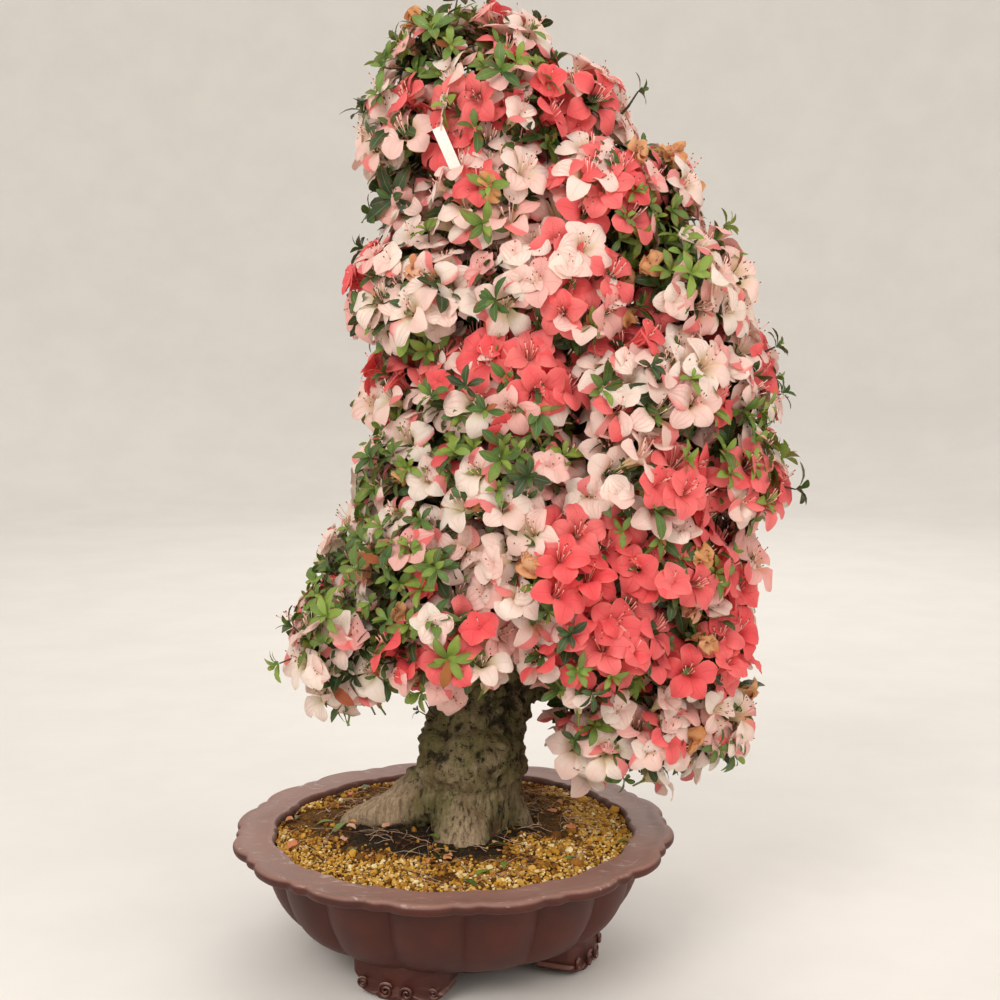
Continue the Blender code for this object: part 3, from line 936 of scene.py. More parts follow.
@dataclass(frozen=True)
class Blade:
    """A thin leaf-like sheet that is extruded row by row from its base."""

    name: str
    rows: tuple[Row, ...]
    columns: int
    # youth_and_shade: 0 for old dark leaves and 1 for young ones; low values also stand for painted shade
    # deep in the crown.

    def stamp(self) -> Stamp:
        """Model the sheet.

        Returns:
            Its stamp, laid across and along.
        """
        Bench.clear()
        bpy.ops.mesh.primitive_grid_add(x_subdivisions=self.columns, y_subdivisions=1, size=2.0)
        piece = bpy.context.object
        piece.name = self.name
        Bench.edit(piece)
        first, second = self.rows[0], self.rows[1]
        for row, low in ((first, True), (second, False)):
            Bench.pick(
                piece, lambda co, low=low: abs(co.x) <= 1.001 and abs(co.y) > 0.99 and (co.y < 0) == low
            )
            start = -1.0 if low else 1.0
            bpy.ops.transform.resize(value=(row.half, 1.0, 1.0), center_override=(0.0, 0.0, 0.0))
            bpy.ops.transform.translate(value=(0.0, row.reach - start, row.rise))
        for before, row in zip(self.rows[1:], self.rows[2:]):
            Bench.pick(piece, lambda co, r=before: abs(co.y - r.reach) + abs(co.z - r.rise) < 1e-5)
            bpy.ops.mesh.extrude_region_move()
            wider = row.half / before.half
            bpy.ops.transform.resize(value=(wider, 1.0, 1.0), center_override=(0.0, 0.0, 0.0))
            bpy.ops.transform.translate(value=(0.0, row.reach - before.reach, row.rise - before.rise))
        self._lift_edges(piece)
        bpy.ops.object.mode_set(mode="OBJECT")
        return Stamp.of(piece, self._lay)

    def _lift_edges(self, piece: bpy.types.Object) -> None:
        """Lift each row's edges, more towards its ends.

        Args:
            piece: the sheet in edit mode.
        """
        shape = bmesh.from_edit_mesh(piece.data)
        for point in shape.verts:
            row = self._row(point.co)
            point.co.z += row.lift * (point.co.x / row.half) ** 2
        bmesh.update_edit_mesh(piece.data)

    def _row(self, place: Vector) -> Row:
        """The row that a point belongs to."""
        return min(self.rows, key=lambda row: abs(place.y - row.reach) + abs(place.z - row.rise) * 0.2)

    def _lay(self, place: Vector) -> tuple[float, float]:
        """The place across and along of a point, each from 0 to 1."""
        row = self._row(place)
        return 0.5 + 0.5 * place.x / row.half, self.rows.index(row) / (len(self.rows) - 1)


def turned(angle: float, axis: str) -> np.ndarray:
    """A turn about one axis.

    Args:
        angle: the angle in radians.
        axis: X, Y or Z.

    Returns:
        The 3 by 3 matrix.
    """
    return np.array(Matrix.Rotation(angle, 3, axis))


def faced(out: Vector, roll: float = 0.0) -> np.ndarray:
    """The turn that points a shape's axis outward, with its upper side up.

    Args:
        out: the direction of the shape's axis.
        roll: a turn about that axis, in radians.

    Returns:
        The 3 by 3 matrix.
    """
    axis = out.normalized()
    side = Vector((0.0, 0.0, 1.0)).cross(axis)
    if side.length < 1e-3:
        side = Vector((1.0, 0.0, 0.0))
    side.normalize()
    base = np.array((side, axis.cross(side), axis)).T
    return base @ turned(roll, "Z")


class Cluster:
    """Many small shapes gathered into one mesh, each point with its lay and its tones."""

    def __init__(self, name: str) -> None:
        """Start an empty cluster.

        Args:
            name: the piece that it becomes.
        """
        self.name = name
        self.points: list[np.ndarray] = []
        self.faces: list[tuple[int, ...]] = []
        self.lays: list[np.ndarray] = []
        self.tones: list[np.ndarray] = []
        self.slots: list[int] = []
        self.count = 0

    def add(self, points: np.ndarray, stamp: Stamp, tone: Sequence[float], slot: int = 0) -> None:
        """Add one placed copy of a stamp.

        Args:
            points: the stamp's points where they go.
            stamp: the stamp that they come from.
            tone: the copy's four tones.
            slot: the index of its material.
        """
        start = self.count
        self.points.append(points)
        self.faces += [tuple(start + i for i in face) for face in stamp.faces]
        self.lays.append(stamp.lay)
        self.tones.append(np.tile(np.array(tone, float), (len(points), 1)))
        self.slots += [slot] * len(stamp.faces)
        self.count += len(points)

    def tube(
        self,
        path: Sequence[Vector],
        radii: Sequence[float],
        sides: int,
        tone: Sequence[float],
        slot: int = 0,
    ) -> None:
        """Add a closed thin tube along a path.

        Args:
            path: its points.
            radii: its radius at each point.
            sides: how many sides it has.
            tone: its four tones.
            slot: the index of its material.
        """
        points: list[Vector] = []
        lays: list[tuple[float, float]] = []
        last = len(path) - 1
        for i, (spot, radius) in enumerate(zip(path, radii)):
            along = (path[min(i + 1, last)] - path[max(i - 1, 0)]).normalized()
            held = along.orthogonal() if i == 0 else across - along * across.dot(along)
            across = held.normalized()
            other = along.cross(across)
            for k in range(sides):
                turn = math.tau * k / sides
                points.append(spot + (across * math.cos(turn) + other * math.sin(turn)) * radius)
                lays.append((k / sides, i / last))
        end = tuple(range(last * sides, (last + 1) * sides))
        faces: list[tuple[int, ...]] = [tuple(range(sides))[::-1], end]
        for i in range(last):
            for k in range(sides):
                j = (k + 1) % sides
                faces.append((i * sides + k, i * sides + j, (i + 1) * sides + j, (i + 1) * sides + k))
        self.add(np.array(points), Stamp(np.array(points), faces, np.array(lays)), tone, slot)

    def piece(self, materials: Sequence[bpy.types.Material], smooth: bool = True) -> bpy.types.Object:
        """Make the gathered mesh.

        Args:
            materials: its materials, in the order of the slots.
            smooth: whether its faces are shaded smooth.

        Returns:
            The object, at the origin.
        """
        mesh = bpy.data.meshes.new(self.name)
        mesh.from_pydata(np.concatenate(self.points).tolist(), [], self.faces)
        lay = np.concatenate(self.lays)
        corners = np.zeros(len(mesh.loops), int)
        mesh.loops.foreach_get("vertex_index", corners)
        layer = mesh.uv_layers.new(name="lay")
        layer.data.foreach_set("uv", lay[corners].astype(np.float32).ravel())
        held = mesh.attributes.new("tones", "FLOAT_COLOR", "POINT")
        held.data.foreach_set("color", np.concatenate(self.tones).astype(np.float32).ravel())
        for material in materials:
            mesh.materials.append(material)
        mesh.polygons.foreach_set("material_index", self.slots)
        mesh.polygons.foreach_set("use_smooth", [smooth] * len(mesh.polygons))
        mesh.update()
        made = bpy.data.objects.new(self.name, mesh)
        bpy.context.scene.collection.objects.link(made)
        return made


# ---------------------------------------------------------------- pot


@dataclass
class Pot:
    """The fired pot: lobed body and lip, foot ring, and four cloud feet with scrolls in relief."""

    axis: Vector
    radius: float = 0.210
    height: float = 0.120
    lip_width: float = 0.038
    lip_depth: float = 0.011
    lip_notch: float = 0.008
    inner_notch: float = 0.005
    body_out: float = 0.180
    flute: float = 0.009
    wall: float = 0.010
    floor: float = 0.011
    ring_radius: float = 0.118
    ring_height: float = 0.006
    ring_width: float = 0.013
    lobes: int = 16
    lobe_turn: float = math.radians(-85.1)
    around: int = 320
    feet: int = 4
    foot_turn: float = math.radians(-110.0)
    foot_height: float = 0.020
    foot_width: float = 0.092
    foot_out: float = 0.140
    foot_depth: float = 0.034
    drain_radius: float = 0.013
    drain_circle: float = 0.058
    finish: ClayFinish = field(default_factory=ClayFinish)

    def dip(self, angle: float) -> float:
        """How far a direction lies towards a lobe's edge, 0 in its middle and 1 at the cusp."""
        across = ((angle - self.lobe_turn) / math.tau * self.lobes) % 1.0
        return abs(2 * across - 1) ** 2.4

    def bracket(self, angle: float) -> float:
        """How far the lip's outline draws in: broad lobes with a small lobe over each cusp.

        Args:
            angle: the direction.

        Returns:
            The share of the lip's notch.
        """
        across = ((angle - self.lobe_turn) / math.tau * self.lobes) % 1.0
        away = abs(2 * across - 1)
        if away < 0.74:
            return 0.85 * (away / 0.74) ** 2.6
        return 0.85 - 0.42 * math.sin(math.pi / 2 * (away - 0.74) / 0.26)

    def body_radius(self, height: float) -> float:
        """The body's outer radius at a height: a quarter of an ellipse.

        Args:
            height: the height above the soles.

        Returns:
            The radius.
        """
        low = self.foot_height + self.ring_height
        rise = (height - low) / (self.height - self.lip_depth - low)
        swell = math.sqrt(max(0.0, 1 - (1 - rise) ** 2))
        return self.ring_radius + (self.body_out - self.ring_radius) * swell

    def profile(self) -> list[tuple[float, float, float]]:
        """The section from the middle of the underside round the lip to the middle of the floor.

        Returns:
            Rows of radius, height and notch.
        """
        base = self.foot_height + self.ring_height
        under = self.height - self.lip_depth
        edge = self.lip_depth / 2
        inside = self.radius - self.lip_width
        recess = self.foot_height + 0.5 * self.ring_height
        rows = [
            (0.02, recess, 0.0),
            (self.ring_radius - self.ring_width - 0.001, recess, 0.0),
            (self.ring_radius - self.ring_width, self.foot_height + 0.0006, 0.0),
            (self.ring_radius - self.ring_width + 0.001, self.foot_height, 0.0),
            (self.ring_radius - 0.002, self.foot_height, 0.002),
            (self.ring_radius - 0.0004, self.foot_height + 0.0008, 0.002),
            (self.ring_radius, base - 0.0016, 0.002),
            (self.ring_radius - 0.0012, base - 0.0004, 0.002),
        ]
        steps = 14
        for i in range(steps + 1):
            height = base + 0.0004 + (under - 0.003 - base) * (i / steps) ** 1.6
            share = (height - base) / (under - base)
            flute = 0.002 + (self.flute - 0.002) * min(1.0, share * 3)
            rows.append((self.body_radius(height), height, flute))
        rows += [
            (self.body_out + 0.0025, under - 0.0006, self.flute),
            (self.body_out + 0.008, under + 0.0004, self.lip_notch),
        ]
        for turn in range(-80, 81, 20):
            angle = math.radians(turn)
            out = self.radius - edge + edge * math.cos(angle)
            rows.append((out, under + edge + edge * math.sin(angle), self.lip_notch))
        rows += [
            (self.radius - 1.7 * edge, self.height - 0.0007, self.lip_notch),
            (self.radius - 2.5 * edge, self.height - 0.0019, self.lip_notch * 0.9),
            (
                self.radius - 0.5 * self.lip_width,
                self.height - 0.0026,
                (self.lip_notch + self.inner_notch) / 2,
            ),
            (inside + 1.3 * edge, self.height - 0.0016, self.inner_notch),
            (inside + 0.8 * edge, self.height - 0.0010, self.inner_notch),
            (inside + 0.35 * edge, self.height - 0.0014, self.inner_notch),
            (inside, self.height - 0.6 * edge, self.inner_notch),
        ]
        for i in range(9):
            height = under + (base + self.floor - under) * (i / 8) ** 0.7
            rows.append((min(self.body_radius(height) - self.wall, inside), height, self.inner_notch))
        rows.append((0.02, base + self.floor, 0.0))
        return rows

    def polar(self, radius: float, angle: float, height: float) -> Vector:
        """A point about the pot's own axis."""
        across = self.axis.x + radius * math.cos(angle)
        deep = self.axis.y + radius * math.sin(angle)
        return Vector((across, deep, height))

    def build_body(self) -> bpy.types.Object:
        """Draw the lobed body through its section, and open its drain holes.

        Returns:
            The body.
        """
        angles = [self.lobe_turn + math.tau * i / self.around for i in range(self.around)]
        lip = self.height - self.lip_depth - 0.0002
        rings = []
        for radius, height, notch in self.profile():
            lobed = self.bracket if height > lip else self.dip
            rings.append([self.polar(radius - notch * lobed(a), a, height) for a in angles])
        body = Bench.loft("pot_body", rings)
        for index in range(3):
            place = self.polar(self.drain_circle, self.lobe_turn + math.tau * index / 3, 0.03)
            Bench.clear()
            bpy.ops.mesh.primitive_cylinder_add(
                vertices=32, radius=self.drain_radius, depth=0.06, location=place
            )
            cutter = bpy.context.object
            Bench.modify(body, "BOOLEAN", operation="DIFFERENCE", solver="EXACT", object=cutter)
            Bench.drop(cutter)
        return body

    def outline(self) -> list[Vector]:
        """The cloud foot's outline as a smooth closed line, across and up.

        Returns:
            Its points.
        """
        h = self.foot_height
        half = [
            (0.00, 0.06), (0.08, 0.01), (0.20, 0.0), (0.34, 0.0), (0.44, 0.04), (0.50, 0.20), (0.58, 0.15),
            (0.70, 0.17), (0.82, 0.28), (0.90, 0.46), (0.84, 0.62), (0.90, 0.76), (0.99, 0.96), (1.00, 1.20),
            (1.00, 1.50), (0.96, 1.66), (0.60, 1.72), (0.10, 1.74),
        ]
        right = [Vector((a * self.foot_width / 2, b * h)) for a, b in half]
        line: list[Vector] = []
        padded = [Vector((-right[1].x, right[1].y)), *right, right[-1] + Vector((-0.004, 0.0))]
        for a, b, c, d in zip(padded, padded[1:], padded[2:], padded[3:]):
            for i in range(3):
                t = i / 3
                bent = (2 * a - 5 * b + 4 * c - d) * t**2 + (3 * b - a - 3 * c + d) * t**3
                curve = 2 * b + (c - a) * t + bent
                line.append(curve / 2)
        line.append(right[-1])
        for point in line:
            point.y = max(point.y, 0.0)
        return line + [Vector((-p.x, p.y)) for p in reversed(line[1:])]

    def build_foot(self, index: int) -> list[bpy.types.Object]:
        """One cloud foot with its scrolls.

        Args:
            index: which of the feet.

        Returns:
            The foot and its scrolls.
        """
        angle = self.foot_turn + math.tau * index / self.feet
        out = Vector((math.cos(angle), math.sin(angle), 0.0))
        side = Vector((-out.y, out.x, 0.0))
        line = self.outline()
        back = self.foot_out - self.foot_depth

        def ring(reach: float, shrink: float) -> list[Vector]:
            """The outline at a depth, drawn in a little from its edge.

            Args:
                reach: how far out from the pot's axis it lies.
                shrink: how far it is drawn in.

            Returns:
                The ring's points.
            """
            middle = Vector((0.0, self.foot_height * 0.8))
            points = []
            for p in line:
                near = p - (p - middle).normalized() * shrink
                near.y = max(near.y, 0.0)
                curved = math.sqrt(reach**2 - near.x**2)
                points.append(self.axis + out * curved + side * near.x + Vector((0.0, 0.0, near.y)))
            return points

        front = self.foot_out
        edge = ((0.0055, 0.0), (0.0035, 0.0004), (0.0020, 0.0014), (0.0012, 0.0028), (0.0008, 0.0045))
        rings = [ring(back, 0.0), *(ring(front - inset, shrink) for inset, shrink in edge)]
        made = [Bench.loft("foot", rings)]
        inner = ((-0.22, 0.48, 0.0076), (0.22, 0.48, 0.0076))
        outer = ((-0.74, 0.62, 0.0050), (0.74, 0.62, 0.0050))
        for share, height, size in inner + outer:
            across = share * self.foot_width / 2
            middle = self.axis + out * (math.sqrt(front**2 - across**2) + 0.0002) + side * across
            middle.z = self.foot_height * height
            made.append(self.scroll(middle, out, side, size, -1.0 if share < 0 else 1.0))
        return made

    def scroll(self, middle: Vector, out: Vector, side: Vector, size: float, hand: float) -> bpy.types.Object:
        """A raised spiral on a foot's face.

        Args:
            middle: the spiral's eye.
            out: the direction that it faces.
            side: the direction across the foot.
            size: its outer radius.
            hand: 1 or -1, the way that it winds.

        Returns:
            The spiral.
        """
        up = Vector((0.0, 0.0, 1.0))
        steps = 32
        rings = []
        for i in range(steps + 1):
            share = i / steps
            turn = hand * share * math.tau * 1.9
            far = size * (0.10 + 0.90 * share)
            spot = middle + (side * math.cos(turn) + up * math.sin(turn)) * far
            thick = (0.0009 + 0.0004 * share) * (1.0 if 0 < i < steps else 0.4)
            away = (side * math.cos(turn) + up * math.sin(turn)).normalized()
            ring = []
            for k in range(8):
                bend = math.tau * k / 8
                ring.append(spot + away * math.cos(bend) * thick + out * math.sin(bend) * thick * 1.2)
            rings.append(ring)
        return Bench.loft("scroll", rings)

    def build(self) -> bpy.types.Object:
        """Make the whole pot.

        Returns:
            The finished pot.
        """
        parts = [self.build_body()]
        for index in range(self.feet):
            parts += self.build_foot(index)
        pot = Bench.join(parts)
        pot.name = "clay_pot"
        Bench.finish(pot, self.finish.material(self.axis), 35.0)
        return settle(pot, "pot_clay", "pot")


# ---------------------------------------------------------------- soil and what lies on it


@dataclass
class SoilBed:
    """The mounded soil, its granules and the litter on it."""

    pot: Pot
    wood: BVHTree
    level: float = 0.111
    mound: float = 0.014
    granules: int = 15500
    threads: int = 255

    def edge(self, angle: float) -> float:
        """The soil's radius in one direction."""
        return self.pot.radius - self.pot.lip_width - self.pot.inner_notch * self.pot.dip(angle)

    def top(self, radius: float) -> float:
        """The soil's height at a distance from the pot's axis."""
        return self.level + self.mound * (1.0 - (radius / (self.pot.radius - self.pot.lip_width)) ** 2)

    def build_bed(self) -> bpy.types.Object:
        """The soil itself: a fine copy of its solid with an uneven top.

        Returns:
            The finished soil.
        """
        bed = bpy.data.objects.new("soil_bed", frame["nodes"]["soil"].data.copy())
        bpy.context.scene.collection.objects.link(bed)
        Bench.edit(bed)
        bpy.ops.mesh.select_all(action="SELECT")
        bpy.ops.mesh.remove_doubles(threshold=0.00002)
        bpy.ops.object.mode_set(mode="OBJECT")
        Bench.modify(bed, "REMESH", mode="VOXEL", voxel_size=0.0034)
        for vertex in bed.data.vertices:
            if vertex.co.z > self.level - 0.004:
                lump = noise.noise(vertex.co * 95.0) * 0.0016 + noise.noise(vertex.co * 30.0) * 0.002
                vertex.co.z += lump
        middle = Vector((self.pot.axis.x - 0.012, self.pot.axis.y - 0.012, self.level))
        Bench.finish(bed, SoilFinish().material(middle), 60.0)
        return settle(bed, "soil_grain", "soil")

    def spots(self, count: int, seed: int) -> Iterable[tuple[Vector, float, random.Random]]:
        """Random places on the open soil.

        Args:
            count: how many are tried.
            seed: the seed of the random numbers.

        Yields:
            A place, its distance from the wood, and the random numbers.
        """
        rng = random.Random(seed)
        for _ in range(count):
            angle = rng.uniform(0.0, math.tau)
            radius = self.edge(angle) * math.sqrt(rng.uniform(0.02, 0.985))
            place = self.pot.polar(radius, angle, self.top(radius))
            near = self.wood.find_nearest(place)[3]
            if near > 0.004:
                yield place, near, rng

    def build_granules(self) -> bpy.types.Object:
        """The loose granules, sparse in the muck round the wood.

        Returns:
            The finished granules.
        """
        stamps = [self._grain(seed) for seed in range(4)]
        cluster = Cluster("granules")
        for place, near, rng in self.spots(self.granules, 11):
            left = 0.012 if place.x < self.pot.axis.x else 0.0
            muck = near - left + noise.noise(place * 24.0) * 0.04 + noise.noise(place * 70.0) * 0.012
            if muck < 0.034 and rng.random() < 0.93:
                continue
            size = rng.uniform(0.0009, 0.0018) * (1.7 if rng.random() < 0.05 else 1.0)
            size *= 1.0 if rng.random() < 0.95 else rng.uniform(1.4, 2.2)
            stamp = rng.choice(stamps)
            turn = turned(rng.uniform(0, math.tau), "Z") @ turned(rng.uniform(0, math.tau), "X")
            points = (turn @ (stamp.points * size).T).T + np.array(place + Vector((0, 0, size * 0.35)))
            pick = min(1.0, max(0.0, rng.gauss(0.64, 0.24) - (0.35 if muck < 0.046 else 0.0)))
            cluster.add(points, stamp, (pick, rng.random(), 0.0, 1.0))
        return settle(cluster.piece([GranuleFinish().material()], False), "soil_grain")

    @staticmethod
    def _grain(seed: int) -> Stamp:
        """One broken grain of unit radius.

        Args:
            seed: the seed of its shape.

        Returns:
            Its stamp.
        """
        Bench.clear()
        bpy.ops.mesh.primitive_ico_sphere_add(subdivisions=1, radius=1.0)
        piece = bpy.context.object
        Bench.edit(piece)
        bpy.ops.mesh.select_all(action="SELECT")
        bpy.ops.transform.resize(value=(1.15, 0.95, 0.8))
        bpy.ops.transform.vertex_random(offset=0.28, seed=seed)
        bpy.ops.object.mode_set(mode="OBJECT")
        return Stamp.of(piece, lambda co: (0.5, 0.5))

    def build_litter(self, petal: Stamp, leaf: Stamp) -> tuple["Cluster", "Cluster"]:
        """Dry threads, fallen petals and leaves on the soil.

        Args:
            petal: a petal's stamp.
            leaf: a leaf's stamp.

        Returns:
            The fallen petals and the fallen leaves.
        """
        threads = Cluster("dry_threads")
        for place, near, rng in self.spots(self.threads * 2, 23):
            if threads.count > self.threads * 18:
                break
            if near > 0.075 and rng.random() < 0.6:
                continue
            heading = rng.uniform(0, math.tau)
            length = rng.uniform(0.018, 0.045)
            bend = rng.uniform(-1.4, 1.4)
            path = []
            spot = place + Vector((0, 0, 0.002))
            for i in range(6):
                path.append(spot.copy())
                step = Vector((math.cos(heading), math.sin(heading), 0.0)) * (length / 5)
                spot = spot + step
                offset = spot - self.pot.axis
                rise = 0.0018 + 0.003 * math.sin(math.pi * min(i + 1, 5) / 5) * rng.random()
                spot.z = self.top(min(math.hypot(offset.x, offset.y), 0.17)) + rise
                heading += bend / 5
            if all(math.hypot(p.x - self.pot.axis.x, p.y - self.pot.axis.y) < 0.164 for p in path):
                threads.tube(path, [0.00026] * 5 + [0.00016], 3, (rng.random(), rng.random(), 0.0, 1.0))
        settle(threads.piece([LitterFinish().material()]), "soil_grain")
        fallen = Cluster("fallen_petals")
        leaves = Cluster("fallen_leaves")
        for place, near, rng in self.spots(46, 37):
            turn = turned(rng.uniform(0, math.tau), "Z") @ turned(rng.uniform(-0.25, 0.25), "X")
            lift = np.array(place + Vector((0, 0, 0.0025)))
            if rng.random() < 0.6:
                crumple = petal.points * rng.uniform(0.18, 0.42) * np.array((1.0, 1.0, 0.25))
                crumple[:, 2] += 0.0012 * np.sin(crumple[:, 0] * 900.0 + rng.uniform(0, 6)) + 0.001
                tone = (rng.choice((0.3, 1.0)), rng.random(), 0.0, rng.uniform(0.45, 0.9))
                fallen.add((turn @ crumple.T).T + lift, petal, tone)
            else:
                flat = leaf.points * rng.uniform(0.5, 0.8)
                leaves.add((turn @ flat.T).T + lift, leaf, (rng.uniform(0.3, 0.9), rng.random(), 0.0, 0.3))
        return fallen, leaves


# ---------------------------------------------------------------- wood


@dataclass
class Wood:
    """Trunk, surface roots and branches: one grown piece, burled low down."""

    voxel: float = 0.0023
    ground: float = 0.115
    finish: BarkFinish = field(default_factory=BarkFinish)

    def carve(self) -> bpy.types.Object:
        """A fine rounded copy of the wood's solid, carved with burls, fibres and pits.

        Returns:
            The finished wood.
        """
        wood = bpy.data.objects.new("wood", frame["nodes"]["trunk"].data.copy())
        bpy.context.scene.collection.objects.link(wood)
        Bench.edit(wood)
        bpy.ops.mesh.select_all(action="SELECT")
        bpy.ops.mesh.remove_doubles(threshold=0.00002)
        bpy.ops.object.mode_set(mode="OBJECT")
        Bench.modify(wood, "REMESH", mode="VOXEL", voxel_size=self.voxel)
        Bench.modify(wood, "SMOOTH", factor=0.6, iterations=10)
        self._burl(wood)
        Bench.finish(wood, self.finish.material(self.ground), 180.0)
        return settle(wood, "bark", "trunk")

    def _burl(self, wood: bpy.types.Object) -> None:
        """Move the points along their normals, and keep how far as the relief.

        Args:
            wood: the smooth wood.
        """
        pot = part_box("pot")
        axis = (pot[0] + pot[1]) / 2
        tones = []
        normals = [vertex.normal.copy() for vertex in wood.data.vertices]
        for vertex, normal in zip(wood.data.vertices, normals):
            place = vertex.co.copy()
            height = place.z - self.ground
            away = math.hypot(place.x - axis.x - 0.012, place.y - axis.y)
            trunk = max(0.0, min(1.0, (0.26 - height) / 0.08))
            root = max(0.0, min(1.0, (away - 0.050) / 0.02)) * max(0.0, min(1.0, (0.065 - height) / 0.02))
            warp = Vector([noise.noise(place * 30.0 + Vector((k * 7.0, 1.0, 2.0))) for k in range(3)]) * 0.012
            big = 0.50 - noise.voronoi((place + warp) * 36.0)[0][0] ** 2 * 1.1
            knobs = 0.42 - noise.voronoi((place + warp * 0.7) * 100.0)[0][0] ** 2 * 1.2
            rough = noise.turbulence(place * 85.0, 4, True) - 0.55
            burl = big * 0.0130 + knobs * 0.0056 + rough * 0.0022
            wander = noise.noise(place * 20.0) * 2.0
            swirl = Vector((place.x * 150.0, place.y * 150.0, place.z * 20.0 + wander))
            fibre = noise.noise(swirl) * 0.0036
            fine = noise.noise(place * 260.0) * 0.0010 + noise.noise(place * 150.0) * 0.0012
            low = max(0.0, min(1.0, (0.062 - height) / 0.03))
            strength = trunk * (1.0 - 0.8 * root)
            move = (burl * (1.0 - 0.85 * low) + fibre * (0.3 + low) + fine) * strength
            move += noise.noise(place * 70.0) * 0.0016 * root
            move += noise.noise(place * 130.0) * 0.0008 * (1.0 - trunk)
            vertex.co += normal * move
            deep = noise.noise((place + warp) * 34.0 + Vector((5, 5, 5))) - 0.26
            hollow = max(0.0, min(1.0, deep * 6.0)) * max(low, root)
            raised = (knobs * 0.005 + rough * 0.007 + big * 0.007) / 0.012
            relief = max(0.0, min(1.0, 0.55 + raised * (1.0 - low)))
            tones.append((relief, hollow, root, low))
        held = wood.data.attributes.new("tones", "FLOAT_COLOR", "POINT")
        held.data.foreach_set("color", np.array(tones, np.float32).ravel())


# ---------------------------------------------------------------- crown


class Kind(Enum):
    """What a flower is."""

    PALE = "pale"
    PINK = "pink"
    CORAL = "coral"
    WITHERED = "withered"


@dataclass(frozen=True)
class Drift:
    """A broad part of the crown's front, in shares of the crown's own width and height."""

    across: float
    height: float
    wide: float
    tall: float


@dataclass
class Site:
    """A place on the crown's surface."""

    pad: str
    place: Vector
    out: Vector
    room: float


